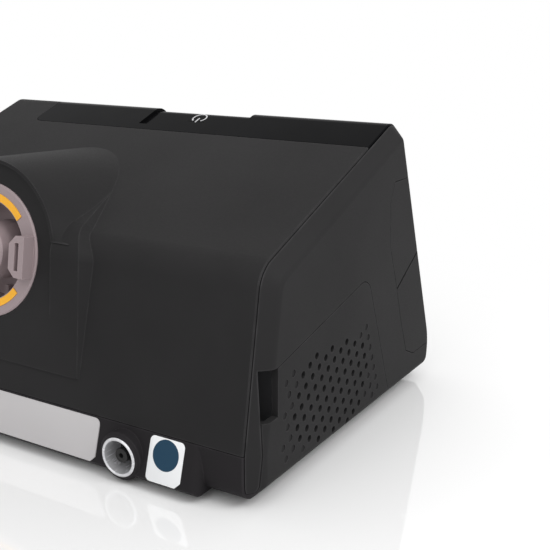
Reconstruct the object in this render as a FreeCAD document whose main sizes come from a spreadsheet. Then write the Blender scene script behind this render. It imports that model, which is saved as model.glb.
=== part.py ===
"""A bedside positive airway pressure machine with its heated humidifier, as an assembly.

Frame: millimetres, +Z up, origin on the floor under the middle of the machine.
The front, with screen and dial, faces -Y. The humidifier tub is on the +X side and
the air filter on the -X side. The air outlet and the power inlet face +Y.
"""
import FreeCAD
import Part
import math
import os
import re
import Sketcher
from FreeCAD import Placement, Rotation, Vector

doc = FreeCAD.newDocument("cpap_machine")
sheet = doc.addObject("Spreadsheet::Sheet", "Sizes")

SIZES = (
    # casing, seen from the side
    ("case_width", 205.0, "outside width of the casing"),
    ("case_rear", 70.5, "foot of the rear wall behind the middle"),
    ("case_front", 75.0, "foot of the front face before the middle"),
    ("foot_height", 3.0, "rubber feet below the casing"),
    ("base_height", 17.0, "base tray up to the seam of the rear shell"),
    ("wall_rise", 58.7, "rear wall from that seam to the slope"),
    ("wall_lean", 10.0, "rear wall leans forward, degrees"),
    ("slope_angle", 21.1, "top slope, degrees from level"),
    ("front_lean", 20.9, "front face leans back, degrees from upright"),
    ("front_rise", 15.0, "upright sill below the front face"),
    ("sill_inset", 3.0, "front sill drawn in at the bottom"),
    ("case_wall", 2.4, "thickness of the moulded shells"),
    ("edge_bevel", 5.5, "bevel round both ends"),
    ("edge_soft", 3.0, "rounding of that bevel on the end faces"),
    ("break_radius", 12.0, "rounding between rear wall and slope"),
    ("apex_radius", 7.5, "rounding of the top edge"),
    ("sill_radius", 8.0, "rounding of the front sill"),
    ("brow_radius", 30.0, "rounding between front face and sill"),
    ("heel_radius", 6.5, "rounding under the rear wall"),
    ("seam_gap", 0.3, "open seam between two shells"),
    ("seam_inset", 5.0, "seam of the side panel in from the end"),
    ("side_sill", 6.5, "lower edge of the side panel above the floor"),
    ("band_depth", 14.5, "rear edge of the gloss band before the middle"),
    ("band_end", 71.0, "end of the gloss band towards the tub"),
    ("band_tip", 4.0, "rounded corner at that end"),
    # side covers
    ("filter_top", 46.8, "upper rear corner of the filter cover above the floor"),
    ("filter_peak_y", -6.85, "peak of the filter cover"),
    ("filter_peak_z", 60.95, "peak of the filter cover above the floor"),
    ("filter_foot_y", -28.6, "front foot of the filter cover"),
    ("filter_peak_radius", 7.0, "rounding of that peak"),
    ("filter_heel", 66.5, "lower rear corner of the filter cover behind the middle"),
    ("filter_back", 63.6, "upper rear corner of the filter cover behind the middle"),
    ("filter_relief", 1.9, "swing room under the front end of the filter cover"),
    ("filter_relief_run", 17.0, "length of that room"),
    ("hole_pitch", 5.0, "perforations of the filter cover, between centres"),
    ("hole_size", 2.6, "perforations"),
    ("hole_margin", 4.2, "solid rim round the perforations"),
    ("hole_drop", 2.2, "middle of the perforations below that of the air filter"),
    ("dimple_depth", 0.35, "blind perforations"),
    ("filter_notch_front", 57.5, "finger notch, front edge"),
    ("filter_notch_width", 9.0, "finger notch"),
    ("filter_notch_foot", 30.0, "finger notch above the floor"),
    ("filter_notch_height", 18.0, "finger notch"),
    ("hook_height", 5.0, "hook tabs of the hinged covers"),
    ("hook_reach", 3.0, "hook tabs behind the panel"),
    ("hook_thickness", 1.6, "hook tabs"),
    ("card_slit_y", -33.0, "rear end of the slit under the card cover"),
    ("card_slit_z", 50.2, "that end above the floor"),
    ("card_slit_rise", 0.58, "rise of the slit towards the front"),
    ("card_slit_gap", 1.0, "width of the slit"),
    ("card_hinge_y", -24.5, "upper end of the card cover's hinge line"),
    ("card_hinge_z", 86.0, "that end above the floor"),
    ("card_hinge_drop", 18.0, "length of the hinge line"),
    ("card_hinge_lean", 0.073, "lean of the hinge line"),
    ("card_top", 93.0, "top of the card cover above the floor"),
    ("adapter_waist_y", -38.0, "rear edge of the adapter cover"),
    ("adapter_waist_z", 35.6, "that point above the floor"),
    ("adapter_foot_y", -44.7, "lower rear corner of the adapter cover"),
    ("adapter_foot_z", 20.3, "that corner above the floor"),
    ("cowl_radius", 40.2, "foot of the cowl on the slope, from the outlet's axis"),
    ("cowl_rim", 1.2, "rim of the cowl round the arched recess"),
    ("tab_width", 15.0, "finger tab of the outlet connector"),
    ("tab_reach", 16.2, "inner end of the finger tab from the outlet's axis"),
    ("tab_corner", 3.0, "cut corners of the finger tab"),
    ("tab_slot", 1.9, "slot in the finger tab"),
    ("tab_lip", 2.8, "wall of the finger tab before its slot"),
    ("tab_stand", 5.0, "finger tab above the ring"),
    ("spoke_width", 2.0, "spokes of the outlet connector"),
    ("spoke_height", 2.4, "spokes above the floor of the connector"),
    ("cuff_room", 3.0, "free ring round the air port, for the cuff of the hose"),
    ("mark_thickness", 0.3, "coloured marks on the ring"),
    ("mark_gap", 40.0, "half of the gap between the two marks, degrees"),
    # air outlet
    ("outlet_offset", 18.5, "outlet from the middle, towards the tub"),
    ("outlet_height", 70.5, "outlet centre above the floor"),
    ("boss_rise", 3.6, "raised panel round the outlet above the wall, at its top"),
    ("boss_step", 0.6, "raised panel above the wall at its foot"),
    ("brow_rise", 2.6, "raised panel above the slope, where it has passed over the top of the wall"),
    ("boss_recess", 2.0, "floor of the arched recess above the wall"),
    ("boss_half", 45.5, "half width of that panel"),
    ("shoulder_neck", 40.0, "half width of that panel where it has passed over the top of the wall"),
    ("shoulder_end", 25.0, "front end of that panel on the slope, behind the middle"),
    ("shoulder_tip", 30.0, "half width of that panel at its front end"),
    ("boss_foot", 31.0, "lower edge of that panel above the floor"),
    ("arch_radius", 32.2, "arched recess in the panel"),
    ("arch_drop", 34.0, "straight sides of the recess below the centre"),
    ("ring_radius", 24.5, "face ring of the outlet connector"),
    ("ring_width", 6.0, "width of that ring"),
    ("ring_stand", 2.6, "ring above the wall plane"),
    ("port_radius", 11.0, "22 mm air port, outside"),
    ("port_bore", 9.0, "bore of the air port"),
    ("port_stand", 6.0, "air port above the wall plane"),
    ("cup_depth", 12.0, "outlet connector behind the wall plane"),
    ("turn_clearance", 0.3, "gap round a turning or sliding piece"),
    # power inlet and its panel
    ("panel_flare", 4.5, "rear panel flares out at its foot"),
    ("panel_left", 82.0, "end of the rear panel towards the filter"),
    ("panel_right", 60.0, "end of the rear panel towards the tub"),
    ("inlet_offset", 50.1, "power inlet from the middle"),
    ("inlet_height", 9.8, "power inlet above the floor"),
    ("inlet_radius", 7.1, "outside of the inlet barrel"),
    ("inlet_bore", 6.0, "bore of the inlet barrel"),
    ("inlet_depth", 9.0, "free depth of the inlet"),
    ("inlet_stand", 1.0, "inlet barrel behind the rear panel"),
    ("inlet_collar", 1.6, "collar of the tray round the barrel"),
    ("inlet_core", 2.6, "insulator round the centre pin"),
    ("inlet_pin", 0.9, "centre pin"),
    ("foot_inset", 20.0, "feet in from the sides"),
    ("foot_radius", 7.0, "rubber feet"),
    # front controls
    ("dial_offset", 1.0, "dial from the middle, towards the tub"),
    ("dial_height", 66.0, "dial centre above the floor"),
    ("dial_radius", 16.5, "grip of the dial"),
    ("dial_stand", 9.0, "dial above the front face"),
    ("shaft_radius", 3.0, "encoder shaft"),
    ("shaft_fit", 0.06, "running clearance on the shaft"),
    ("press_travel", 0.8, "travel of dial and buttons"),
    ("home_drop", 27.0, "home button below the dial, along the face"),
    ("home_radius", 6.0, "home button"),
    ("screen_inset", 45.5, "screen centre in from the end"),
    ("screen_width", 62.0, "screen window"),
    ("screen_length", 40.0, "screen window along the face"),
    ("start_left", 36.0, "start button end towards the filter"),
    ("start_right", 13.0, "start button end towards the tub"),
    ("start_scoop", 1.3, "start button below the band"),
    ("screen_rise", 10.0, "screen centre above the dial, along the face"),
    ("screen_depth", 5.0, "screen module"),
    ("start_back", 4.5, "start button before the rear edge of the band"),
    ("start_depth", 20.0, "start button, front to back"),
    ("start_stem_drop", 14.0, "stem of the start button below the top"),
    ("apex_drop", 2.2, "top of the casing below the sharp corner of its profile"),
    ("dial_hub", 6.0, "hub of the dial"),
    ("flute_radius", 1.2, "grip flutes of the dial"),
    ("ring_trim", 2.6, "trim ring outside the dial"),
    ("encoder_size", 12.0, "encoder under the dial"),
    ("encoder_height", 3.2, "encoder under the dial"),
    ("switch_height", 2.0, "switch under the home button"),
    ("lens_across", -34.0, "status light, from the dial"),
    ("lens_rise", 36.0, "status light above the dial, along the face"),
    ("lens_width", 14.0, "status light"),
    ("lens_height", 2.4, "status light"),
    # humidifier
    ("heater_left", 42.0, "heater plate, inner side"),
    ("heater_inset", 10.5, "heater plate in from the end"),
    ("heater_front", -50.0, "heater plate, front side"),
    ("heater_back", 28.0, "heater plate, rear side"),
    ("bay_left", 30.0, "inner side of the tub bay from the middle"),
    ("bay_back", 42.0, "rear side of the bay behind the middle"),
    ("bay_floor", 12.0, "floor of the bay"),
    ("bay_roof", 72.0, "roof of the bay"),
    ("tub_gap", 0.8, "room round the tub"),
    ("tub_wall", 2.2, "wall of the tub"),
    ("port_foot", 4.0, "air ports above the joint between tub and lid"),
    ("tub_seal_height", 1.2, "seal between tub and lid"),
    ("tub_port_radius", 9.0, "air ports of the tub"),
    ("port_drop", 4.0, "air ports below the roof of the bay"),
    ("tub_inlet_y", -6.0, "port that air enters by"),
    ("tub_outlet_y", 26.0, "port that air leaves by"),
    ("duct_wall", 1.8, "wall of the air ducts"),
    ("grip_depth", 3.0, "finger grip in the end of the lid"),
    ("grip_rise", 8.0, "grip above the joint of the tub"),
    ("grip_height", 9.0, "grip"),
    ("grip_width", 60.0, "grip"),
    ("grip_ahead", 40.0, "front end of the grip before the middle"),
    # air path
    ("filter_thickness", 6.0, "air filter"),
    ("filter_ahead", 10.0, "air filter before the middle"),
    ("filter_length", 60.0, "air filter"),
    ("filter_floor", 12.2, "air filter above the floor"),
    ("filter_height", 32.0, "air filter"),
    ("filter_rim", 3.0, "frame lapping over the edge of the air filter"),
    ("silencer_gap", 2.7, "between inlet silencer and blower"),
    ("silencer_tail", 5.0, "between inlet silencer and the rear leg of the deck"),
    ("duct_lead", 2.0, "straight leads of the air duct"),
    ("spout_width", 18.0, "outlet spout of the blower"),
    ("blower_eye_radius", 10.0, "inlet eye of the blower"),
    ("motor_height", 11.0, "motor can"),
    ("motor_shaft", 1.5, "motor shaft"),
    ("impeller_height", 11.0, "impeller"),
    # blower
    ("blower_share", 0.205, "blower axis, as a share of the width"),
    ("blower_y", 20.0, "blower axis"),
    ("blower_radius", 29.0, "outside of the volute"),
    ("grommet_bore", 2.5, "posts inside the blower's rubber feet"),
    ("grommet_radius", 5.0, "the blower's rubber feet"),
    ("blower_foot", 14.0, "underside of the volute above the floor"),
    ("blower_height", 30.0, "height of the volute"),
    ("impeller_radius", 22.0, "impeller"),
    ("motor_radius", 13.0, "motor can"),
    # boards
    ("deck_inset", 12.5, "inner deck in from the end"),
    ("deck_right", -12.0, "inner deck"),
    ("deck_front", -45.0, "inner deck"),
    ("deck_back", 56.0, "inner deck"),
    ("deck_leg", 3.5, "legs of the inner deck"),
    ("board_inset", 4.0, "main board in from the end of the deck"),
    ("board_right", -16.0, "main board"),
    ("board_front", -22.0, "main board"),
    ("board_back", 48.0, "main board"),
    ("board_stand", 4.0, "main board above the deck"),
    ("card_room", 0.5, "between the memory card's socket and the display board"),
    ("card_rise", 2.6, "memory card above the deck"),
    ("card_length", 32.0, "memory card"),
    ("card_width", 24.0, "memory card"),
    ("card_thickness", 2.1, "memory card"),
    ("card_socket", 8.0, "memory card socket"),
    ("link_y", -47.0, "connector behind the adapter cover"),
    ("link_height", 50.0, "connector behind the adapter cover"),
    ("elbow_lead", 10.0, "straight lead of the outlet elbow"),
    ("elbow_bend", 8.6, "bends of the outlet elbow"),
    ("elbow_radius", 6.2, "bore of the outlet elbow"),
    ("deck_height", 60.0, "underside of the inner deck above the floor"),
    ("board_thickness", 1.6, "circuit boards"),
)
TIES = (
    ("blower_x", "=-case_width*blower_share", "blower axis"),
    ("tub_port_height", "=bay_roof-tub_port_radius-port_drop", "air ports above the floor"),
    ("tub_split", "=tub_port_height-tub_port_radius-port_foot", "joint between tub and lid above the floor"),
    ("heater_right", "=case_width/2-heater_inset", "heater plate, outer side"),
    ("screen_offset", "=case_width/2-screen_inset", "screen centre from the middle"),
    ("silencer_depth", "=case_width/2+blower_x-blower_radius-case_wall*2-filter_thickness-silencer_gap",
     "inlet silencer"),
    ("duct_bend", "=(tub_port_height-blower_foot-blower_height/2)/2-duct_lead", "bends of the air duct"),
    ("deck_left", "=deck_inset-case_width/2", "inner deck"),
    ("board_left", "=deck_left+board_inset", "main board"),
    ("card_foot", "=deck_height+case_wall+card_rise", "memory card above the floor"),
    ("socket_top", "=card_foot+card_width+2", "memory card socket above the floor"),
    ("card_plane", "=-case_front+(socket_top-foot_height-front_rise)*tan(front_lean)"
     "+(case_wall+screen_depth+board_thickness)/cos(front_lean)+card_socket/2+card_room",
     "memory card, middle of its thickness"),
)
ALIASES = [alias for alias, size, meaning in SIZES + TIES]
for row, (alias, size, meaning) in enumerate(SIZES + TIES, start=1):
    sheet.set("A%d" % row, meaning)
    sheet.set("B%d" % row, str(size))
    sheet.setAlias("B%d" % row, alias)
doc.recompute()

WORDS = re.compile(r"\b(" + "|".join(ALIASES) + r")\b")


def bind(text):
    """An expression in the sheet's words, as FreeCAD wants it."""
    return WORDS.sub(r"Sizes.\1", str(text))


gauge = doc.addObject("App::FeaturePython", "gauge")
gauge.addProperty("App::PropertyFloat", "reading")


def measure(text):
    """The number that such an expression gives now, read on a gauge object."""
    gauge.setExpression("reading", bind(text))
    gauge.recompute()
    return gauge.reading


# ---------------------------------------------------------------- drawing helpers

def new_body(name):
    body = doc.addObject("PartDesign::Body", name)
    body.Label = name
    return body


def new_sketch(body, name, role, level="0"):
    """A sketch on one of the body's own planes, raised to a level along its normal."""
    sketch = body.newObject("Sketcher::SketchObject", name)
    plane = next(item for item in body.Origin.OriginFeatures if item.Role == role)
    sketch.AttachmentSupport = (plane, [""])
    sketch.MapMode = "FlatFace"
    sketch.setExpression("AttachmentOffset.Base.z", bind(level))
    return sketch


def hold(sketch, kind, places, text):
    """One dimension of a sketch, tied to the sheet."""
    index = sketch.addConstraint(Sketcher.Constraint(kind, *places, measure(text)))
    sketch.setExpression("Constraints[%d]" % index, bind(text))


def outline(sketch, corners):
    """A closed outline of straight sides, each corner held from the origin."""
    first = len(sketch.Geometry)
    points = [Vector(measure(across), measure(up), 0) for across, up in corners]
    count = len(points)
    for index in range(count):
        sketch.addGeometry(Part.LineSegment(points[index], points[(index + 1) % count]), False)
    for index in range(count):
        after = first + (index + 1) % count
        sketch.addConstraint(Sketcher.Constraint("Coincident", first + index, 2, after, 1))
    for index, (across, up) in enumerate(corners):
        hold(sketch, "DistanceX", (-1, 1, first + index, 1), across)
        hold(sketch, "DistanceY", (-1, 1, first + index, 1), up)


def circle(sketch, across, up, radius):
    """A circle held by its centre and radius."""
    centre = Vector(measure(across), measure(up), 0)
    index = sketch.addGeometry(Part.Circle(centre, Vector(0, 0, 1), measure(radius)), False)
    hold(sketch, "DistanceX", (-1, 1, index, 3), across)
    hold(sketch, "DistanceY", (-1, 1, index, 3), up)
    hold(sketch, "Radius", (index,), radius)


def pad(body, sketch, length, name="pad"):
    feature = body.newObject("PartDesign::Pad", name)
    feature.Profile = sketch
    feature.setExpression("Length", bind(length))
    return feature


def pocket(body, sketch, length, name="pocket", reverse=False):
    feature = body.newObject("PartDesign::Pocket", name)
    feature.Profile = sketch
    feature.Reversed = reverse
    feature.setExpression("Length", bind(length))
    return feature


def turn(body, sketch, name="turned"):
    """A full revolution about the body's own Z axis."""
    feature = body.newObject("PartDesign::Revolution", name)
    feature.Profile = sketch
    feature.ReferenceAxis = (sketch, ["V_Axis"])
    feature.Angle = 360.0
    return feature


PLANES = {"X": "YZ_Plane", "Y": "XZ_Plane", "Z": "XY_Plane"}


def prism(name, axis, corners, start, end):
    """A body with one outline, carried along an axis from start to end."""
    body = new_body(name)
    level = "-(%s)" % end if axis == "Y" else start
    sketch = new_sketch(body, name + "_outline", PLANES[axis], level)
    outline(sketch, corners)
    pad(body, sketch, "(%s)-(%s)" % (end, start), name + "_pad")
    return body


def disc(name, axis, across, up, radius, start, end):
    """A round body along an axis from start to end."""
    body = new_body(name)
    level = "-(%s)" % end if axis == "Y" else start
    sketch = new_sketch(body, name + "_outline", PLANES[axis], level)
    circle(sketch, across, up, radius)
    pad(body, sketch, "(%s)-(%s)" % (end, start), name + "_pad")
    return body


def turned(name, corners):
    """A body turned about its own Z axis; corners are radius and height."""
    body = new_body(name)
    sketch = new_sketch(body, name + "_section", "XZ_Plane")
    outline(sketch, corners)
    turn(body, sketch, name + "_turn")
    return body


def block(name, across, along, up):
    """A plain box between two values on each axis."""
    box = doc.addObject("Part::Box", name)
    box.Label = name
    for place, size, (low, high) in zip("xyz", ("Length", "Width", "Height"), (across, along, up)):
        box.setExpression("Placement.Base." + place, bind(low))
        box.setExpression(size, bind("(%s)-(%s)" % (high, low)))
    return box


def middle(edge):
    return edge.valueAt((edge.FirstParameter + edge.LastParameter) / 2)


def dress(body, kind, size, choose, name):
    """A fillet or chamfer on the edges of the body's tip that choose picks."""
    doc.recompute()
    tip = body.Tip
    names = ["Edge%d" % number for number, edge in enumerate(tip.Shape.Edges, start=1) if choose(edge)]
    if not names:
        raise RuntimeError("no edge to dress for " + name)
    feature = body.newObject("PartDesign::" + kind, name)
    feature.Base = (tip, names)
    feature.setExpression("Radius" if kind == "Fillet" else "Size", bind(size))
    return feature


def parallel(edge, axis):
    """True where a straight edge runs along an axis."""
    if edge.Curve.TypeId != "Part::GeomLine":
        return False
    return abs(edge.Curve.Direction.dot(axis)) > 0.9999


def cut(name, base, *tools):
    """The base without the tools."""
    result = doc.addObject("Part::Cut", name)
    result.Label = name
    result.Base = base
    result.Tool = tools[0] if len(tools) == 1 else fuse(name + "_tools", *tools)
    return result


def fuse(name, *shapes):
    result = doc.addObject("Part::MultiFuse", name)
    result.Label = name
    result.Shapes = list(shapes)
    result.Refine = True
    return result


def common(name, base, tool):
    result = doc.addObject("Part::Common", name)
    result.Label = name
    result.Base = base
    result.Tool = tool
    return result


def stand(thing, across, along, up, tilt):
    """Puts a piece at a point, tipped about the X axis by an angle."""
    thing.Placement = Placement(Vector(0, 0, 0), Rotation(Vector(1, 0, 0), 10))
    thing.setExpression("Placement.Base.x", bind(across))
    thing.setExpression("Placement.Base.y", bind(along))
    thing.setExpression("Placement.Base.z", bind(up))
    thing.setExpression("Placement.Rotation.Angle", bind(tilt))
    return thing


parts = {}


def keep(name, thing):
    """Marks a piece as one that is handed over under its own name."""
    thing.Label = name
    parts[name] = thing
    return thing


# ---------------------------------------------------------------- places used by several pieces

HALF = "(case_width/2)"
FAR = "(case_width)"
SEAM_Z = "(foot_height+base_height)"
BREAK_Z = "(%s+wall_rise)" % SEAM_Z
BREAK_Y = "(case_rear-wall_rise*tan(wall_lean))"
SILL_Z = "(foot_height+front_rise)"
SLOPE = "tan(slope_angle)"
LEAN = "tan(front_lean)"
APEX_Y = "((%s*(%s+%s*%s-%s)-case_front)/(1+%s*%s))" % (LEAN, BREAK_Z, SLOPE, BREAK_Y, SILL_Z, LEAN, SLOPE)
APEX_Z = "(%s-%s*(%s-%s))" % (BREAK_Z, SLOPE, APEX_Y, BREAK_Y)
SEAM_X = "(-(case_width/2-seam_inset))"
FLOOR_Z = "(foot_height+case_wall)"
OUTLET_Y = "(case_rear-(outlet_height-%s)*tan(wall_lean))" % SEAM_Z
OUTLET_TILT = "-(90-wall_lean)"
FACE_TILT = "(90-front_lean)"


def face_y(height):
    """Where the front face is at a height."""
    return "(-case_front+((%s)-%s)*%s)" % (height, SILL_Z, LEAN)


def on_outlet(thing):
    return stand(thing, "outlet_offset", OUTLET_Y, "outlet_height", OUTLET_TILT)


def on_face(thing):
    """Local X as the machine's, local Y up the front face, local Z out of it, at the dial."""
    return stand(thing, "dial_offset", face_y("dial_height"), "dial_height", FACE_TILT)


# ---------------------------------------------------------------- casing

def casing_form():
    """The outside of the whole machine: a side profile, rounded, with bevelled ends."""
    profile = (
        ("case_rear", "foot_height"),
        ("case_rear", SEAM_Z),
        (BREAK_Y, BREAK_Z),
        (APEX_Y, APEX_Z),
        ("-case_front", SILL_Z),
        ("sill_inset-case_front", "foot_height"),
    )
    form = prism("casing_form", "X", profile, "-case_width/2", "case_width/2")
    roundings = (
        ("break_round", "break_radius", profile[2]),
        ("apex_round", "apex_radius", profile[3]),
        ("sill_round", "sill_radius", profile[5]),
        ("brow_round", "brow_radius", profile[4]),
        ("heel_round", "heel_radius", profile[0]),
    )
    for name, radius, (along, up) in roundings:
        corner = (measure(along), measure(up))

        def at_corner(edge, corner=corner):
            here = middle(edge)
            near = math.hypot(here.y - corner[0], here.z - corner[1]) < 0.01
            return near and parallel(edge, Vector(1, 0, 0))

        dress(form, "Fillet", radius, at_corner, name)
    end = measure(HALF)

    def on_end(edge):
        return all(abs(abs(point.X) - end) < 0.001 for point in edge.Vertexes) and abs(middle(edge).x) > 1

    dress(form, "Chamfer", "edge_bevel", on_end, "end_bevel")
    dress(form, "Fillet", "edge_soft", on_end, "end_round")
    return form


def offset(name, source, amount):
    """The source, grown or shrunk all round."""
    result = doc.addObject("Part::Offset", name)
    result.Label = name
    result.Source = source
    result.setExpression("Value", bind(amount))
    return result


def settle():
    """Recomputes until nothing is open. The kernel's threaded cut of the curved casing comes
    back empty once in a while, and the same cut made again is sound.
    """
    for _ in range(4):
        doc.recompute()
        if not any("Invalid" in item.State for item in doc.Objects):
            return


form = casing_form()
cavity = offset("casing_cavity", form, "-case_wall")
skin = cut("casing_skin", form, cavity)
settle()


def zone(name, edge):
    """The part of space that one shell takes, with its edges moved out by edge."""
    if name == "side":
        return block("side_zone_" + edge[:4], ("-%s" % FAR, "%s+(%s)" % (SEAM_X, edge)),
                     ("-%s" % FAR, FAR), ("side_sill-(%s)" % edge, FAR))
    if name == "base":
        tray = block("tray_zone", ("%s-(%s)" % (SEAM_X, edge), FAR), ("-%s" % FAR, FAR),
                     ("-1", "%s+(%s)" % (SEAM_Z, edge)))
        sill = block("sill_zone", ("-%s" % FAR, "0"), ("-%s" % FAR, FAR), ("-1", "side_sill+(%s)" % edge))
        return fuse("base_zone", tray, sill)
    if name == "bezel":
        face = block("face_zone", ("%s-(%s)" % (SEAM_X, edge), "bay_left"),
                     ("-%s" % FAR, "-band_depth+(%s)" % edge), ("%s-(%s)" % (SEAM_Z, edge), FAR))
        band = block("band_zone", ("%s-(%s)" % (SEAM_X, edge), "band_end-band_tip"),
                     ("-%s" % FAR, "-band_depth+(%s)" % edge), ("bay_roof", FAR))
        band_front = block("band_front_zone", ("0", "band_end+(%s)" % edge),
                           ("-%s" % FAR, "-band_depth-band_tip"), ("bay_roof", FAR))
        tip = disc("band_tip_zone", "Z", "band_end-band_tip", "-band_depth-band_tip", "band_tip+(%s)" % edge,
                   "bay_roof", FAR)
        return fuse("bezel_zone", face, band, band_front, tip)
    return block("bay_zone", ("bay_left-case_wall-(%s)" % edge, FAR),
                 ("-%s" % FAR, "bay_back+case_wall+(%s)" % edge),
                 ("bay_floor-case_wall-(%s)" % edge, "bay_roof+case_wall+(%s)" % edge))


TIGHT = "-seam_gap/2"
WIDE = "seam_gap/2"
bay_room = zone("bay", WIDE)


# ---------------------------------------------------------------- side covers

COVER_INNER = "(-(case_width/2-case_wall))"
COVER_SPAN = ("-%s" % FAR, "%s-seam_gap/2" % SEAM_X)

filter_corners = (
    ("filter_heel", "side_sill+seam_gap/2"),
    ("filter_back", "filter_top"),
    ("filter_notch_front", "filter_top"),
    ("filter_peak_y", "filter_peak_z"),
    ("filter_foot_y", "side_sill+seam_gap/2"),
)
filter_prism = prism("filter_prism", "X", filter_corners, *COVER_SPAN)


def at_filter_peak(edge):
    here = middle(edge)
    near = math.hypot(here.y - measure("filter_peak_y"), here.z - measure("filter_peak_z")) < 0.01
    return near and parallel(edge, Vector(1, 0, 0))


dress(filter_prism, "Fillet", "filter_peak_radius", at_filter_peak, "filter_peak_round")
filter_room = offset("filter_room", filter_prism, "seam_gap")

card_corners = (
    ("card_slit_y", "card_slit_z"),
    ("card_hinge_y-card_hinge_drop*card_hinge_lean", "card_hinge_z-card_hinge_drop"),
    ("card_hinge_y", "card_hinge_z"),
    ("card_hinge_y-3", "card_top"),
    ("-case_front-5", "card_top"),
    ("-case_front-5", "card_slit_z+card_slit_rise*(case_front+5+card_slit_y)"),
)
card_prism = prism("card_prism", "X", card_corners, *COVER_SPAN)
card_room = offset("card_room", card_prism, "seam_gap")

adapter_corners = (
    ("card_slit_y", "card_slit_z"),
    ("adapter_waist_y", "adapter_waist_z"),
    ("adapter_foot_y", "adapter_foot_z"),
    ("adapter_foot_y-7.5", "adapter_foot_z-3.5"),
    ("-case_front-5", "adapter_foot_z-3.5"),
    ("-case_front-5", "card_top"),
    ("card_slit_y", "card_top"),
)
adapter_prism = prism("adapter_prism", "X", adapter_corners, *COVER_SPAN)
adapter_room = offset("adapter_room", adapter_prism, "seam_gap")

side_shell = common("side_shell", skin, zone("side", TIGHT))
keep("side_panel", cut("side_panel", side_shell, filter_room, card_room, adapter_room))


def hook(name, along, up, lean, ahead):
    """A hook tab that reaches from a cover's hinged edge behind the panel beside it."""
    inner = "%s+seam_gap" % COVER_INNER
    body = new_body(name)
    sketch = new_sketch(body, name + "_outline", "XY_Plane", "-hook_height/2")
    reach = "%s*hook_reach" % ahead
    outline(sketch, (
        ("%s-0.6" % COVER_INNER, "-(%s)" % reach),
        ("%s-0.6" % COVER_INNER, "-(%s)*0.4" % reach),
        (inner, "-(%s)*0.4" % reach),
        (inner, reach),
        ("%s+hook_thickness" % inner, reach),
        ("%s+hook_thickness" % inner, "-(%s)" % reach),
    ))
    pad(body, sketch, "hook_height", name + "_pad")
    return stand(body, "0", along, up, "-(%s)" % lean)


filter_skin = common("filter_skin", skin, filter_prism)
notch = block("filter_notch", ("-%s" % FAR, SEAM_X), ("filter_notch_front", "filter_notch_front+filter_notch_width"),
              ("filter_notch_foot", "filter_notch_foot+filter_notch_height"))
FILTER_LEAN = "atan((filter_peak_y-filter_foot_y)/(filter_peak_z-side_sill))"
filter_hooks = [
    hook("filter_hook", "filter_foot_y+(%s)*tan(%s)" % (level, FILTER_LEAN), "side_sill+%s" % level,
         FILTER_LEAN, "-1")
    for level in ("8", "26")
]


def perforations():
    """Holes over the air filter, and blind ones round them, on a lattice along the hinge edge."""
    lean = math.radians(measure(FILTER_LEAN))
    pitch = measure("hole_pitch")
    radius = measure("hole_size/2")
    face = -measure(HALF)
    centre = (measure("filter_length/2-filter_ahead"), measure("filter_floor+filter_height/2-hole_drop"))
    reach = (measure("filter_length/2-filter_rim"), measure("filter_height/2+hole_pitch/4"))
    corners = [(measure(along), measure(up)) for along, up in filter_corners]
    rear = measure("filter_notch_front")
    floor = measure("side_sill+edge_bevel")
    tools = []
    for row in range(-20, 21):
        for column in range(-20, 21):
            across, rise = column * pitch, row * pitch
            along = across * math.cos(lean) + rise * math.sin(lean)
            up = rise * math.cos(lean) - across * math.sin(lean)
            place = (centre[0] + along, centre[1] + up)
            open_here = abs(along / reach[0]) ** 3 + abs(up / reach[1]) ** 3 < 1
            room = min(inside(place, first, last) for first, last in zip(corners, corners[1:] + corners[:1]))
            on_flat = place[0] < rear - pitch / 2 and place[1] > floor
            if open_here and room > 0:
                depth = measure("case_wall*2")
            elif room > measure("hole_margin") and on_flat:
                depth = measure("dimple_depth")
            else:
                continue
            foot = Vector(face - 1, place[0], place[1])
            tools.append(Part.makeCylinder(radius, depth + 1, foot, Vector(1, 0, 0)))
    thing = doc.addObject("Part::Feature", "perforations")
    thing.Shape = Part.makeCompound(tools)
    return thing


def inside(place, first, last):
    """How far a point is inside one edge of an outline that runs with its inside on the left."""
    run, rise = last[0] - first[0], last[1] - first[1]
    return (run * (place[1] - first[1]) - rise * (place[0] - first[0])) / math.hypot(run, rise)


relief = prism("filter_relief_room", "X", (
    ("filter_foot_y-1", "side_sill-1"), ("filter_foot_y+filter_relief_run", "side_sill-1"),
    ("filter_foot_y+filter_relief_run", "side_sill"), ("filter_foot_y-1", "side_sill+seam_gap/2+filter_relief"),
), *COVER_SPAN)
filter_plate = cut("filter_plate", filter_skin, notch, relief, perforations())
keep("air_filter_cover", fuse("air_filter_cover", filter_plate, *filter_hooks))

CARD_LEAN = "atan(card_hinge_lean)"
card_skin = common("card_skin", skin, card_prism)
card_hooks = [
    hook("card_hook", "card_hinge_y-%s*card_hinge_lean" % drop, "card_hinge_z-%s" % drop, CARD_LEAN, "1")
    for drop in ("3", "12")
]
keep("sd_card_cover", fuse("sd_card_cover", card_skin, *card_hooks))
slit_room = offset("slit_room", card_prism, "card_slit_gap")
keep("adapter_cover", cut("adapter_cover", common("adapter_skin", skin, adapter_prism), slit_room))

# ---------------------------------------------------------------- rear shell, cowl and outlet

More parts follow.
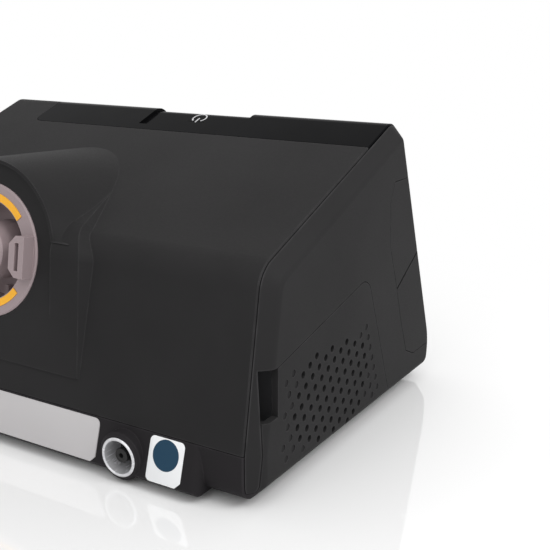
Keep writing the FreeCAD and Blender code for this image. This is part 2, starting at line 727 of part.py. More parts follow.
def raised_panel():
    """The flat panel round the outlet. It stands proud of the wall, more so towards its top,
    goes over the top of the wall in a rounding and runs out on the slope.

    It is ruled through sections across the shell's own profile. Each has sides at 45 degrees
    and reaches into the shell by a part of its wall.
    """
    lean = math.radians(measure("wall_lean"))
    fall = math.radians(measure("slope_angle"))
    middle_x = Vector(measure("outlet_offset"), 0, 0)
    wall_up = Vector(0, -math.sin(lean), math.cos(lean))
    up_slope = Vector(0, -math.cos(fall), math.sin(fall))
    crest = Vector(0, measure(BREAK_Y), measure(BREAK_Z)) + middle_x
    radius = measure("break_radius")
    turn_angle = math.pi / 2 - fall - lean
    tangent = radius * math.tan(turn_angle / 2)
    sink = measure("case_wall*0.4")

    def section(point, angle, rise, half):
        outward = Vector(0, math.cos(angle), math.sin(angle))
        low, high = point - outward * sink, point + outward * rise
        foot = Vector(half + rise + sink, 0, 0)
        edge = Vector(half, 0, 0)
        return Part.makePolygon([low - foot, high - edge, high + edge, low + foot, low - foot])

    half, neck = measure("boss_half"), measure("shoulder_neck")
    step, rise, brow = measure("boss_step"), measure("boss_rise"), measure("brow_rise")
    foot_point = crest - wall_up * ((crest.z - measure("boss_foot")) / math.cos(lean))
    rounding_foot = crest - wall_up * tangent
    centre = rounding_foot - Vector(0, math.cos(lean), math.sin(lean)) * radius
    wall_part = [section(foot_point, lean, step, half), section(rounding_foot, lean, rise, half)]
    rounding = []
    for number in range(7):
        share = number / 6
        eased = share * share * (3 - 2 * share)
        angle = lean + turn_angle * share
        point = centre + Vector(0, math.cos(angle), math.sin(angle)) * radius
        rounding.append(section(point, angle, rise + (brow - rise) * eased, half + (neck - half) * eased))
    end_point = crest + up_slope * ((crest.y - measure("shoulder_end")) / math.cos(fall))
    steep = math.pi / 2 - fall
    slope_part = [
        section(crest + up_slope * tangent, steep, brow, neck),
        section(end_point, steep, -sink / 2, measure("shoulder_tip")),
    ]
    pieces = []
    for name, wires, ruled in (
            ("panel_wall", wall_part, True), ("panel_rounding", rounding, False), ("panel_slope", slope_part, True)):
        piece = doc.addObject("Part::Feature", name)
        piece.Shape = Part.makeLoft(wires, True, ruled)
        pieces.append(piece)
    return fuse("raised_panel", *pieces)


def cowl(name, rim_radius, rim_level, foot_radius, foot_depth):
    """The arched swelling above the panel, ruled from a rim about the outlet to a wider foot.

    The rim lies in a plane across the outlet's axis. The foot lies in a plane along the slope,
    and seen along that axis it is an arc too. Both arcs end where the two planes meet.
    """
    lean = math.radians(measure("wall_lean"))
    fall = math.radians(measure("slope_angle"))
    centre = Vector(measure("outlet_offset"), measure(OUTLET_Y), measure("outlet_height"))
    outward = Vector(0, math.cos(lean), math.sin(lean))
    upward = Vector(0, -math.sin(lean), math.cos(lean))
    slope_normal = Vector(0, math.sin(fall), math.cos(fall))
    ridge = Vector(0, -math.cos(fall), math.sin(fall))
    on_slope = Vector(0, measure(BREAK_Y), measure(BREAK_Z)) - slope_normal * measure(foot_depth)
    reach = (on_slope - centre).dot(slope_normal) / outward.dot(slope_normal)
    meeting = (reach - measure(rim_level)) * outward.dot(slope_normal) / upward.dot(slope_normal) + 0.02
    rim, foot = measure(rim_radius), measure(foot_radius)
    rim_centre = centre + outward * measure(rim_level)
    rim_end = math.acos(meeting / rim)

    def on_rim(angle):
        return rim_centre + upward * (rim * math.cos(angle)) + Vector(rim * math.sin(angle), 0, 0)

    rim_arc = Part.Arc(on_rim(-rim_end), on_rim(0), on_rim(rim_end)).toShape()
    foot_centre = centre + outward * reach
    long_radius = foot / ridge.dot(upward)
    ellipse = Part.Ellipse(foot_centre + ridge * long_radius, foot_centre + Vector(foot, 0, 0), foot_centre)
    foot_end = math.acos(meeting / foot)
    foot_arc = Part.ArcOfEllipse(ellipse, -foot_end, foot_end).toShape()
    wires = []
    for arc in (rim_arc, foot_arc):
        first, last = arc.valueAt(arc.FirstParameter), arc.valueAt(arc.LastParameter)
        wires.append(Part.Wire([arc, Part.LineSegment(last, first).toShape()]))
    thing = doc.addObject("Part::Feature", name)
    thing.Shape = Part.makeLoft(wires, True, True)
    return thing


def arch_tool():
    """The arched recess in panel and cowl; it runs out where the panel is no higher than its floor."""
    body = new_body("arch_tool")
    round_top = new_sketch(body, "arch_round", "XY_Plane", "boss_recess")
    circle(round_top, "0", "0", "arch_radius")
    pad(body, round_top, "boss_rise*4", "arch_round_pad")
    legs = new_sketch(body, "arch_legs", "XY_Plane", "boss_recess")
    outline(legs, (
        ("-arch_radius", "0"), ("arch_radius", "0"),
        ("arch_radius", "arch_drop"), ("-arch_radius", "arch_drop"),
    ))
    pad(body, legs, "boss_rise*4", "arch_legs_pad")
    return on_outlet(body)


BARREL = "(ring_radius+0.3)"
SOCKET_WALL = "(%s+turn_clearance+duct_wall)" % BARREL
outlet_hole = on_outlet(turned("outlet_hole", (
    ("0", "-cup_depth-duct_wall*2"), ("%s+turn_clearance" % SOCKET_WALL, "-cup_depth-duct_wall*2"),
    ("%s+turn_clearance" % SOCKET_WALL, "-case_wall"), ("%s+turn_clearance" % BARREL, "-case_wall"),
    ("%s+turn_clearance" % BARREL, "boss_rise*2"), ("0", "boss_rise*2"),
)))
upper_skin = cut("upper_skin", skin, zone("side", WIDE), zone("base", WIDE), zone("bezel", WIDE), bay_room)
outer_cowl = cowl("outer_cowl", "arch_radius+cowl_rim", "boss_rise*0.8", "cowl_radius", "0")
cowl_room = cowl("cowl_room", "arch_radius+cowl_rim-case_wall", "-case_wall", "cowl_radius-case_wall*1.4",
                 "case_wall*1.5")
rear_body = fuse("rear_body", upper_skin, raised_panel(), outer_cowl)
keep("rear_shell", cut("rear_shell", rear_body, cowl_room, arch_tool(), outlet_hole))

SOCKET_FLOOR = "(-(cup_depth+turn_clearance))"
keep("outlet_socket", on_outlet(turned("outlet_socket", (
    ("port_bore", "%s-duct_wall" % SOCKET_FLOOR),
    (SOCKET_WALL, "%s-duct_wall" % SOCKET_FLOOR),
    (SOCKET_WALL, "-case_wall-seam_gap"),
    ("%s+turn_clearance" % BARREL, "-case_wall-seam_gap"),
    ("%s+turn_clearance" % BARREL, SOCKET_FLOOR),
    ("port_bore", SOCKET_FLOOR),
))))

CUP_FLOOR = "(-cup_depth+duct_wall)"
connector = turned("connector_turned", (
    ("port_bore", "-cup_depth"), (BARREL, "-cup_depth"), (BARREL, "ring_stand-0.5"),
    ("ring_radius-0.2", "ring_stand"), ("ring_radius-ring_width", "ring_stand"),
    ("ring_radius-ring_width", CUP_FLOOR), ("port_radius", CUP_FLOOR),
    ("port_radius", "port_stand-0.6"), ("port_radius-0.6", "port_stand"), ("port_bore", "port_stand"),
))
tab_sketch = new_sketch(connector, "tab_outline", "XY_Plane", "ring_stand-1")
outline(tab_sketch, (
    ("-sqrt(ring_radius^2-tab_width^2/4)", "-tab_width/2"), ("-(tab_reach+tab_corner)", "-tab_width/2"),
    ("-tab_reach", "-tab_width/2+tab_corner"), ("-tab_reach", "tab_width/2-tab_corner"),
    ("-(tab_reach+tab_corner)", "tab_width/2"), ("-sqrt(ring_radius^2-tab_width^2/4)", "tab_width/2"),
))
pad(connector, tab_sketch, "1+tab_stand", "finger_tab")
slot_sketch = new_sketch(connector, "tab_slot_outline", "XY_Plane", "ring_stand+tab_stand")
outline(slot_sketch, (
    ("-(tab_reach+tab_lip+tab_slot)", "-tab_width/3"), ("-(tab_reach+tab_lip)", "-tab_width/3"),
    ("-(tab_reach+tab_lip)", "tab_width/3"), ("-(tab_reach+tab_lip+tab_slot)", "tab_width/3"),
))
pocket(connector, slot_sketch, "tab_stand/2", "tab_slot_cut")
spoke_sketch = new_sketch(connector, "spoke_outline", "XY_Plane", "%s-0.5" % CUP_FLOOR)
outline(spoke_sketch, (
    ("port_radius+cuff_room", "-spoke_width/2"), ("ring_radius-ring_width+1", "-spoke_width/2"),
    ("ring_radius-ring_width+1", "spoke_width/2"), ("port_radius+cuff_room", "spoke_width/2"),
))
pad(connector, spoke_sketch, "spoke_height+0.5", "spoke")
doc.recompute()
spokes = connector.newObject("PartDesign::PolarPattern", "spokes")
spokes.Originals = [connector.Tip]
spokes.Axis = (spoke_sketch, ["N_Axis"])
spokes.Angle = 360.0
spokes.Occurrences = 4
connector.Tip = spokes
keep("outlet_connector", on_outlet(connector))

MARK_INNER = "(ring_radius-ring_width+0.4)"
MARK_OUTER = "(ring_radius-ring_width/2)"
marks = turned("marks_band", (
    (MARK_INNER, "ring_stand"), (MARK_OUTER, "ring_stand"),
    (MARK_OUTER, "ring_stand+mark_thickness"), (MARK_INNER, "ring_stand+mark_thickness"),
))
marks.AllowCompound = True
gap_sketch = new_sketch(marks, "mark_gaps", "XY_Plane", "ring_stand+mark_thickness*2")
for side in ("-", ""):
    outline(gap_sketch, [
        ("%s%s*cos(mark_gap)" % (side, reach), "%s%s*sin(mark_gap)" % (up, reach))
        for reach, up in (("ring_radius/2", "-"), ("ring_radius*1.5", "-"),
                          ("ring_radius*1.5", ""), ("ring_radius/2", ""))
    ])
pocket(marks, gap_sketch, "mark_thickness*4", "mark_gaps_cut")
keep("outlet_marks", on_outlet(marks))

# ---------------------------------------------------------------- base tray, feet and power inlet

SEAM_FOOT = "(%s-seam_gap/2)" % SEAM_Z
tray_skin = common("tray_skin", skin, zone("base", TIGHT))
panel = prism("rear_panel", "X", (
    ("case_rear-case_wall/2", SEAM_FOOT), ("case_rear", SEAM_FOOT),
    ("case_rear+panel_flare", "foot_height+1.5"), ("case_rear+panel_flare-1.5", "foot_height"),
    ("case_rear-heel_radius", "foot_height"), ("case_rear-heel_radius", "foot_height+case_wall/2"),
    ("case_rear-case_wall/2", "foot_height+heel_radius"),
), "-panel_left", "panel_right")


def panel_end(edge):
    here = middle(edge)
    ends = (-measure("panel_left"), measure("panel_right"))
    at_end = min(abs(here.x - end) for end in ends) < 0.01
    return at_end and here.y > measure("case_rear") + 0.5 and here.z > measure("foot_height") + 2


dress(panel, "Fillet", "panel_flare*0.8", panel_end, "panel_ends")
INLET_FACE = "(case_rear+panel_flare+inlet_stand)"


def on_inlet(thing):
    return stand(thing, "-inlet_offset", INLET_FACE, "inlet_height", "-90")


collar = on_inlet(turned("inlet_collar", (
    ("inlet_radius", "-(inlet_depth+4)"), ("inlet_radius+inlet_collar", "-(inlet_depth+4)"),
    ("inlet_radius+inlet_collar", "-1.5"), ("inlet_radius+inlet_collar-1", "-0.5"), ("inlet_radius", "-0.5"),
)))
inlet_hole = on_inlet(turned("inlet_hole", (
    ("0", "-(inlet_depth+4)"), ("inlet_radius", "-(inlet_depth+4)"), ("inlet_radius", "2"), ("0", "2"),
)))
tray = cut("tray", fuse("tray_panel", tray_skin, panel), bay_room)
posts = []
for number, (across, along) in enumerate((
        ("-blower_radius", "0"), ("blower_radius/2", "blower_radius*0.87"),
        ("blower_radius/2", "-blower_radius*0.87"))):
    place = ("blower_x+(%s)*0.8" % across, "blower_y+(%s)*0.8" % along)
    posts.append(disc("grommet_post_%d" % number, "Z", place[0], place[1], "grommet_bore",
                      "%s-case_wall/2" % FLOOR_Z, "blower_foot-1"))
keep("base_chassis", cut("base_chassis", fuse("base_body", tray, collar, *posts), inlet_hole))

keep("power_inlet_barrel", on_inlet(turned("power_inlet_barrel", (
    ("inlet_bore", "-(inlet_depth+4)"), ("inlet_radius", "-(inlet_depth+4)"), ("inlet_radius", "-0.4"),
    ("inlet_radius-0.4", "0"), ("inlet_bore+0.3", "0"), ("inlet_bore", "-0.3"),
))))
insulator = turned("power_inlet_insulator", (
    ("0", "-(inlet_depth+3.5)"), ("inlet_bore", "-(inlet_depth+3.5)"), ("inlet_bore", "-inlet_depth"),
    ("inlet_core+0.6", "-inlet_depth"), ("inlet_core", "-inlet_depth+0.6"),
    ("inlet_core", "-2"), ("0", "-2"),
))
hole_sketch = new_sketch(insulator, "pin_hole_outline", "XY_Plane", "-2")
circle(hole_sketch, "0", "0", "inlet_pin")
pocket(insulator, hole_sketch, "inlet_depth-1", "pin_hole")
keep("power_inlet_insulator", on_inlet(insulator))
keep("power_inlet_pin", on_inlet(disc("power_inlet_pin", "Z", "0", "0", "inlet_pin",
                                      "-inlet_depth-1", "-4")))

feet = new_body("rubber_feet")
feet.AllowCompound = True
feet_sketch = new_sketch(feet, "feet_outline", "XY_Plane")
for across in ("-", ""):
    for along in ("-case_front", "case_rear"):
        circle(feet_sketch, "%s(case_width/2-foot_inset)" % across,
               "%s%sfoot_inset" % (along, "+" if along[0] == "-" else "-"), "foot_radius")
pad(feet, feet_sketch, "foot_height", "feet_pad")
keep("rubber_feet", feet)

# ---------------------------------------------------------------- front bezel and controls

def face_block(name, across, up, out):
    """A box in the dial's frame on the front face."""
    return on_face(prism(name, "Z", (
        (across[0], up[0]), (across[1], up[0]), (across[1], up[1]), (across[0], up[1]),
    ), out[0], out[1]))


def face_disc(name, up, radius, out):
    return on_face(disc(name, "Z", "0", up, radius, out[0], out[1]))


SCREEN_X = "(-screen_offset-dial_offset)"
SCREEN_SPAN = ("%s-screen_width/2" % SCREEN_X, "%s+screen_width/2" % SCREEN_X)
SCREEN_RISE = ("screen_rise-screen_length/2", "screen_rise+screen_length/2")
HOME_Y = "(-home_drop)"
start_prism = prism("start_prism", "Z", (
    ("-start_left", "-band_depth-start_back-start_depth"), ("start_right", "-band_depth-start_back-start_depth"),
    ("start_right", "-band_depth-start_back"), ("-start_left", "-band_depth-start_back"),
), "%s-30" % APEX_Z, "%s+5" % APEX_Z)
start_room = offset("start_room", start_prism, "turn_clearance")
screen_hole = face_block("screen_hole", SCREEN_SPAN, SCREEN_RISE, ("-case_wall*3", "case_wall*3"))
dial_hole = face_disc("dial_hole", "0", "dial_hub+turn_clearance", ("-case_wall*3", "case_wall*3"))
home_hole = face_disc("home_hole", HOME_Y, "home_radius+turn_clearance", ("-case_wall*3", "case_wall*3"))
lens_hole = face_block("lens_hole", ("lens_across-lens_width/2", "lens_across+lens_width/2"),
                       ("lens_rise-lens_height/2", "lens_rise+lens_height/2"), ("-case_wall*3", "case_wall*3"))
bezel_skin = common("bezel_skin", skin, zone("bezel", TIGHT))
keep("front_bezel", cut("front_bezel", bezel_skin, bay_room, start_room, screen_hole, dial_hole, home_hole, lens_hole))


def top_corner(inset):
    """The top corner of the side profile, with slope and front face drawn in by an inset."""
    slope_z = "(%s-(%s)/cos(slope_angle))" % (BREAK_Z, inset)
    front = "(case_front-(%s)/cos(front_lean))" % inset
    along = "((%s*(%s+%s*%s-%s)-%s)/(1+%s*%s))" % (
        LEAN, slope_z, SLOPE, BREAK_Y, SILL_Z, front, LEAN, SLOPE)
    return along, "(%s-%s*(%s-%s))" % (slope_z, SLOPE, along, BREAK_Y)


OUTER_TOP = top_corner("start_scoop")
INNER_TOP = top_corner("start_scoop+case_wall")
start_bend = prism("start_bend", "X", (
    OUTER_TOP,
    ("%s-30*sin(front_lean)" % OUTER_TOP[0], "%s-30*cos(front_lean)" % OUTER_TOP[1]),
    ("%s-30*sin(front_lean)" % INNER_TOP[0], "%s-30*cos(front_lean)" % INNER_TOP[1]),
    INNER_TOP,
    ("%s+30*cos(slope_angle)" % INNER_TOP[0], "%s-30*sin(slope_angle)" % INNER_TOP[1]),
    ("%s+30*cos(slope_angle)" % OUTER_TOP[0], "%s-30*sin(slope_angle)" % OUTER_TOP[1]),
), "-start_left-5", "start_right+5")
for corner, radius, name in ((OUTER_TOP, "apex_radius-start_scoop", "start_outer_round"),
                             (INNER_TOP, "apex_radius-start_scoop-case_wall", "start_inner_round")):
    spot = (measure(corner[0]), measure(corner[1]))

    def at_top(edge, spot=spot):
        here = middle(edge)
        return math.hypot(here.y - spot[0], here.z - spot[1]) < 0.01 and parallel(edge, Vector(1, 0, 0))

    dress(start_bend, "Fillet", radius, at_top, name)
start_cap = common("start_cap", start_bend, start_prism)
start_stem = block("start_stem", ("(start_right-start_left)/2-4", "(start_right-start_left)/2+4"),
                   ("-band_depth-start_back-start_depth/2-3", "-band_depth-start_back-start_depth/2+3"),
                   ("%s-start_stem_drop" % APEX_Z, "%s-start_scoop-case_wall-2" % APEX_Z))
keep("start_stop_button", fuse("start_stop_button", start_cap, start_stem))

keep("screen_window", on_face(prism("screen_window", "Z", (
    ("%s+seam_gap/2" % SCREEN_SPAN[0], "%s+seam_gap/2" % SCREEN_RISE[0]),
    ("%s-seam_gap/2" % SCREEN_SPAN[1], "%s+seam_gap/2" % SCREEN_RISE[0]),
    ("%s-seam_gap/2" % SCREEN_SPAN[1], "%s-seam_gap/2" % SCREEN_RISE[1]),
    ("%s+seam_gap/2" % SCREEN_SPAN[0], "%s-seam_gap/2" % SCREEN_RISE[1]),
), "-case_wall+0.4", "-0.2")))
keep("screen_module", face_block("screen_module", SCREEN_SPAN, SCREEN_RISE,
                                 ("-case_wall-screen_depth", "-case_wall")))
BOARD_TOP = "(-case_wall-screen_depth)"
BOARD_BACK = "(%s-board_thickness)" % BOARD_TOP
keep("display_board", face_block("display_board", ("%s-3" % SCREEN_SPAN[0], "dial_radius+3"),
                                 ("-home_drop-8", "lens_rise+lens_height"), (BOARD_BACK, BOARD_TOP)))
keep("status_lens", face_block("status_lens", (
    "lens_across-lens_width/2+seam_gap/2", "lens_across+lens_width/2-seam_gap/2"),
    ("lens_rise-lens_height/2+seam_gap/2", "lens_rise+lens_height/2-seam_gap/2"), (BOARD_TOP, "0")))

SHAFT_ROOM = "(shaft_radius+shaft_fit)"
ENCODER_TOP = "(%s+encoder_height)" % BOARD_TOP
encoder = new_body("dial_encoder")
encoder_case = new_sketch(encoder, "encoder_case", "XY_Plane", BOARD_TOP)
outline(encoder_case, (("-encoder_size/2", "-encoder_size/2"), ("encoder_size/2", "-encoder_size/2"),
                       ("encoder_size/2", "encoder_size/2"), ("-encoder_size/2", "encoder_size/2")))
pad(encoder, encoder_case, "encoder_height", "encoder_block")
encoder_bore = new_sketch(encoder, "encoder_bore", "XY_Plane", ENCODER_TOP)
circle(encoder_bore, "0", "0", SHAFT_ROOM)
pocket(encoder, encoder_bore, "encoder_height", "encoder_hole")
keep("dial_encoder", on_face(encoder))
KNOB_RIM = "(press_travel+0.6)"
keep("dial_shaft", on_face(turned("dial_shaft", (
    ("0", "%s+press_travel+0.2" % BOARD_TOP), ("shaft_radius", "%s+press_travel+0.2" % BOARD_TOP),
    ("shaft_radius", "dial_stand-2.5"), ("0", "dial_stand-2.5"),
))))
knob = turned("dial_turned", (
    (SHAFT_ROOM, "%s+press_travel+0.3" % ENCODER_TOP), ("dial_hub", "%s+press_travel+0.3" % ENCODER_TOP),
    ("dial_hub", "dial_stand-4"), ("dial_radius-1.8", "dial_stand-4"), ("dial_radius-1.8", KNOB_RIM),
    ("dial_radius", KNOB_RIM), ("dial_radius-0.8", "dial_stand-1"), ("dial_radius-2", "dial_stand"),
    ("0", "dial_stand"), ("0", "dial_stand-2.2"), (SHAFT_ROOM, "dial_stand-2.2"),
))
flute = new_sketch(knob, "flute_outline", "XY_Plane", "dial_stand+1")
circle(flute, "dial_radius+flute_radius*0.6", "0", "flute_radius")
pocket(knob, flute, "dial_stand+2", "flute")
doc.recompute()
flutes = knob.newObject("PartDesign::PolarPattern", "flutes")
flutes.Originals = [knob.Tip]
flutes.Axis = (flute, ["N_Axis"])
flutes.Angle = 360.0
flutes.Occurrences = 24
knob.Tip = flutes
keep("dial_knob", on_face(knob))
keep("dial_ring", on_face(turned("dial_ring", (
    ("dial_radius+0.5", "0"), ("dial_radius+ring_trim", "0"), ("dial_radius+ring_trim-0.5", "1"),
    ("dial_radius+0.9", "1"), ("dial_radius+0.5", "0.6"),
))))
home = turned("home_turned", (
    ("0", "%s+switch_height+press_travel+0.2" % BOARD_TOP), ("2", "%s+switch_height+press_travel+0.2" % BOARD_TOP),
    ("2", "-case_wall+0.6"), ("home_radius", "-case_wall+0.6"), ("home_radius", "0.3"),
    ("home_radius-0.6", "0.8"), ("0", "0.8"),
))
on_face(home)
home.setExpression("Placement.Base.y", bind("%s-sin(front_lean)*home_drop" % face_y("dial_height")))
home.setExpression("Placement.Base.z", bind("dial_height-cos(front_lean)*home_drop"))
keep("home_button", home)
keep("home_switch", face_block("home_switch", ("-3", "3"), ("-home_drop-3", "-home_drop+3"),
                               (BOARD_TOP, "%s+switch_height" % BOARD_TOP)))

# ---------------------------------------------------------------- humidifier bay and tub

liner = block("bay_outside", ("bay_left-case_wall", FAR), ("-%s" % FAR, "bay_back+case_wall"),
              ("bay_floor-case_wall", "bay_roof+case_wall"))
bay_inside = block("bay_inside", ("bay_left", FAR), ("-%s" % FAR, "bay_back"), ("bay_floor", "bay_roof"))
heater_hole = block("heater_hole", ("heater_left-seam_gap", "heater_right+seam_gap"),
                    ("heater_front-seam_gap", "heater_back+seam_gap"), ("bay_floor-case_wall-1", "bay_floor+1"))
port_holes = [
    disc("liner_port_%d" % number, "X", along, "tub_port_height", "tub_port_radius",
         "bay_left-case_wall-1", "bay_left+1")
    for number, along in enumerate(("tub_inlet_y", "tub_outlet_y"))
]
keep("tub_bay", cut("tub_bay", common("bay_form", form, liner), bay_inside, heater_hole, *port_holes))

tub_room = block("tub_room", ("bay_left+tub_gap", FAR), ("-%s" % FAR, "bay_back-tub_gap"),
                 ("bay_floor+tub_gap", "bay_roof-tub_gap"))
tub_space = block("tub_space", ("bay_left+tub_gap+tub_wall", FAR),
                  ("-%s" % FAR, "bay_back-tub_gap-tub_wall"),
                  ("bay_floor+tub_gap+tub_wall", "bay_roof-tub_gap-tub_wall"))
tub_form = common("tub_form", form, tub_room)
tub_cavity = common("tub_cavity", cavity, tub_space)
grip_top = "tub_split+grip_rise+grip_height"
grip_back = block("grip_back", ("%s-grip_depth-tub_wall" % HALF, FAR),
                  ("-grip_ahead-tub_wall", "grip_width-grip_ahead+tub_wall"),
                  ("tub_split+grip_rise-tub_wall", "%s+tub_wall" % grip_top))
grip = prism("tub_grip", "Y", (
    ("%s-grip_depth" % HALF, "tub_split+grip_rise+grip_depth/2"), ("%s+1" % HALF, "tub_split+grip_rise"),
    ("%s+1" % HALF, grip_top), ("%s-grip_depth" % HALF, "%s-grip_depth" % grip_top),
), "-grip_ahead", "grip_width-grip_ahead")
tub_shell = cut("tub_shell", tub_form, cut("tub_hollow", tub_cavity, grip_back), grip)
below = block("tub_below", ("0", FAR), ("-%s" % FAR, FAR), ("0", "tub_split-tub_seal_height/2"))
between = block("tub_between", ("0", FAR), ("-%s" % FAR, FAR),
                ("tub_split-tub_seal_height/2", "tub_split+tub_seal_height/2"))
above = block("tub_above", ("0", FAR), ("-%s" % FAR, FAR), ("tub_split+tub_seal_height/2", FAR))
plate_hole = block("plate_hole", ("heater_left", "heater_right"), ("heater_front", "heater_back"),
                   ("bay_floor", "bay_floor+tub_gap+tub_wall+1"))
keep("tub_base", cut("tub_base", common("tub_bottom", tub_shell, below), plate_hole))
keep("tub_heat_plate", block("tub_heat_plate", ("heater_left", "heater_right"), ("heater_front", "heater_back"),
                             ("bay_floor+tub_gap", "bay_floor+tub_gap+tub_wall")))
keep("tub_seal", common("tub_seal", tub_shell, between))
tub_ports = [
    disc("tub_port_%d" % number, "X", along, "tub_port_height", "tub_port_radius-1",
         "bay_left", "bay_left+tub_gap+tub_wall+1")
    for number, along in enumerate(("tub_inlet_y", "tub_outlet_y"))
]
keep("tub_lid", cut("tub_lid", common("tub_top", tub_shell, above), *tub_ports))

for name, along in (("tub_inlet_seal", "tub_inlet_y"), ("tub_outlet_seal", "tub_outlet_y")):
    body = new_body(name)
    sketch = new_sketch(body, name + "_outline", "YZ_Plane", "bay_left")
    circle(sketch, along, "tub_port_height", "tub_port_radius+2.5")
    circle(sketch, along, "tub_port_height", "tub_port_radius")
    pad(body, sketch, "tub_gap-seam_gap", name + "_pad")
    keep(name, body)

keep("heater_plate", block("heater_plate", ("heater_left", "heater_right"), ("heater_front", "heater_back"),
                           ("bay_floor-case_wall", "bay_floor+tub_gap-seam_gap")))
heater_tray = block("heater_tray", ("heater_left-3", "heater_right+3"), ("heater_front-3", "heater_back+3"),
                    (FLOOR_Z, "bay_floor-case_wall"))
keep("heater_mount", cut("heater_mount", heater_tray,
                         block("heater_hollow", ("heater_left+3", "heater_right-3"),
                               ("heater_front+3", "heater_back-3"), (FLOOR_Z, FAR))))

# ---------------------------------------------------------------- air path: filter, silencer, blower, ducts

FILTER_FRONT = "-filter_ahead"
keep("air_filter", block("air_filter", ("%s+seam_gap" % COVER_INNER, "%s+seam_gap+filter_thickness" % COVER_INNER),
                         (FILTER_FRONT, "filter_length-filter_ahead"), ("filter_floor", "filter_floor+filter_height")))
filter_box = block("filter_box", ("%s+seam_gap" % COVER_INNER, "%s+filter_thickness+case_wall" % COVER_INNER),
                   ("%s-case_wall" % FILTER_FRONT, "filter_length-filter_ahead+case_wall"),
                   ("filter_floor-case_wall", "filter_floor+filter_height+case_wall"))
filter_leg = block("filter_leg", ("%s+filter_thickness" % COVER_INNER, "%s+filter_thickness+case_wall" % COVER_INNER),
                   ("%s-case_wall" % FILTER_FRONT, "filter_length-filter_ahead+case_wall"),
                   (FLOOR_Z, "filter_floor"))
filter_seat = block("filter_seat", ("-%s" % FAR, "%s+seam_gap+filter_thickness" % COVER_INNER),
                    (FILTER_FRONT, "filter_length-filter_ahead"), ("filter_floor", "filter_floor+filter_height"))
filter_window = block("filter_window", ("-%s" % FAR, "0"),
                      ("%s+filter_rim" % FILTER_FRONT, "filter_length-filter_ahead-filter_rim"),
                      ("filter_floor+filter_rim", "filter_floor+filter_height-filter_rim"))
keep("filter_frame", cut("filter_frame", fuse("filter_body", filter_box, filter_leg), filter_seat, filter_window))
SILENCER_LEFT = "(%s+filter_thickness+case_wall)" % COVER_INNER
silencer_box = block("silencer_box", (SILENCER_LEFT, "%s+silencer_depth" % SILENCER_LEFT),
                     (FILTER_FRONT, "deck_back-deck_leg*2-silencer_tail"), (FLOOR_Z, "filter_floor+filter_height"))
silencer_room = block("silencer_room", (SILENCER_LEFT, "%s+silencer_depth-duct_wall" % SILENCER_LEFT),
                      ("%s+duct_wall" % FILTER_FRONT, "deck_back-deck_leg*2-silencer_tail-duct_wall"),
                      ("%s+duct_wall" % FLOOR_Z, "filter_floor+filter_height-duct_wall"))
silencer_eye = disc("silencer_eye", "Z", "%s+silencer_depth/2" % SILENCER_LEFT, "blower_y", "silencer_depth/2-3",
                    "filter_floor+filter_height-duct_wall-1", "filter_floor+filter_height+1")
keep("inlet_silencer", cut("inlet_silencer", silencer_box, silencer_room, silencer_eye))

VOLUTE_MID = "(blower_foot+blower_height/2)"
VOLUTE_TOP = "(blower_foot+blower_height)"


def volute_half(name, low, high, floor_at, ceiling_at):
    """Half of the spiral housing, with its side of the outlet spout."""
    outside = disc(name + "_drum", "Z", "blower_x", "blower_y", "blower_radius", low, high)
    spout_box = block(name + "_spout", ("blower_x", "blower_x+blower_radius+6"),
                      ("blower_y-blower_radius", "blower_y-blower_radius+spout_width"), (low, high))
    inside = disc(name + "_drum_room", "Z", "blower_x", "blower_y", "blower_radius-duct_wall", floor_at, ceiling_at)
    spout_room = block(name + "_spout_room", ("blower_x", "blower_x+blower_radius+10"),
                       ("blower_y-blower_radius+duct_wall", "blower_y-blower_radius+spout_width-duct_wall"),
                       (floor_at, ceiling_at))
    return fuse(name + "_outside", outside, spout_box), inside, spout_room


low_body, low_room, low_spout = volute_half(
    "blower_lower", "blower_foot", VOLUTE_MID, "blower_foot+duct_wall", "%s+1" % VOLUTE_MID)
keep("blower_lower", cut("blower_lower", low_body, low_room, low_spout))
top_body, top_room, top_spout = volute_half(
    "blower_upper", VOLUTE_MID, VOLUTE_TOP, "%s-1" % VOLUTE_MID, "%s-duct_wall" % VOLUTE_TOP)
blower_eye = disc("blower_eye", "Z", "blower_x", "blower_y", "blower_eye_radius",
                  "%s-duct_wall-1" % VOLUTE_TOP, "%s+1" % VOLUTE_TOP)
keep("blower_upper", cut("blower_upper", top_body, top_room, top_spout, blower_eye))
grommets = []
for number, (across, along) in enumerate((
        ("-blower_radius", "0"), ("blower_radius/2", "blower_radius*0.87"),
        ("blower_radius/2", "-blower_radius*0.87"))):
    grommet = new_body("grommet_%d" % number)
    sketch = new_sketch(grommet, "grommet_outline_%d" % number, "XY_Plane", FLOOR_Z)
    for radius in ("grommet_radius", "grommet_bore"):
        circle(sketch, "blower_x+(%s)*0.8" % across, "blower_y+(%s)*0.8" % along, radius)
    pad(grommet, sketch, "blower_foot-(%s)" % FLOOR_Z, "grommet_pad_%d" % number)
    grommets.append(grommet)
rubber = doc.addObject("Part::Compound", "blower_grommets")
rubber.Links = grommets
keep("blower_grommets", rubber)

MOTOR_FOOT = "(blower_foot+duct_wall)"


def on_blower(thing):
    return stand(thing, "blower_x", "blower_y", MOTOR_FOOT, "0")


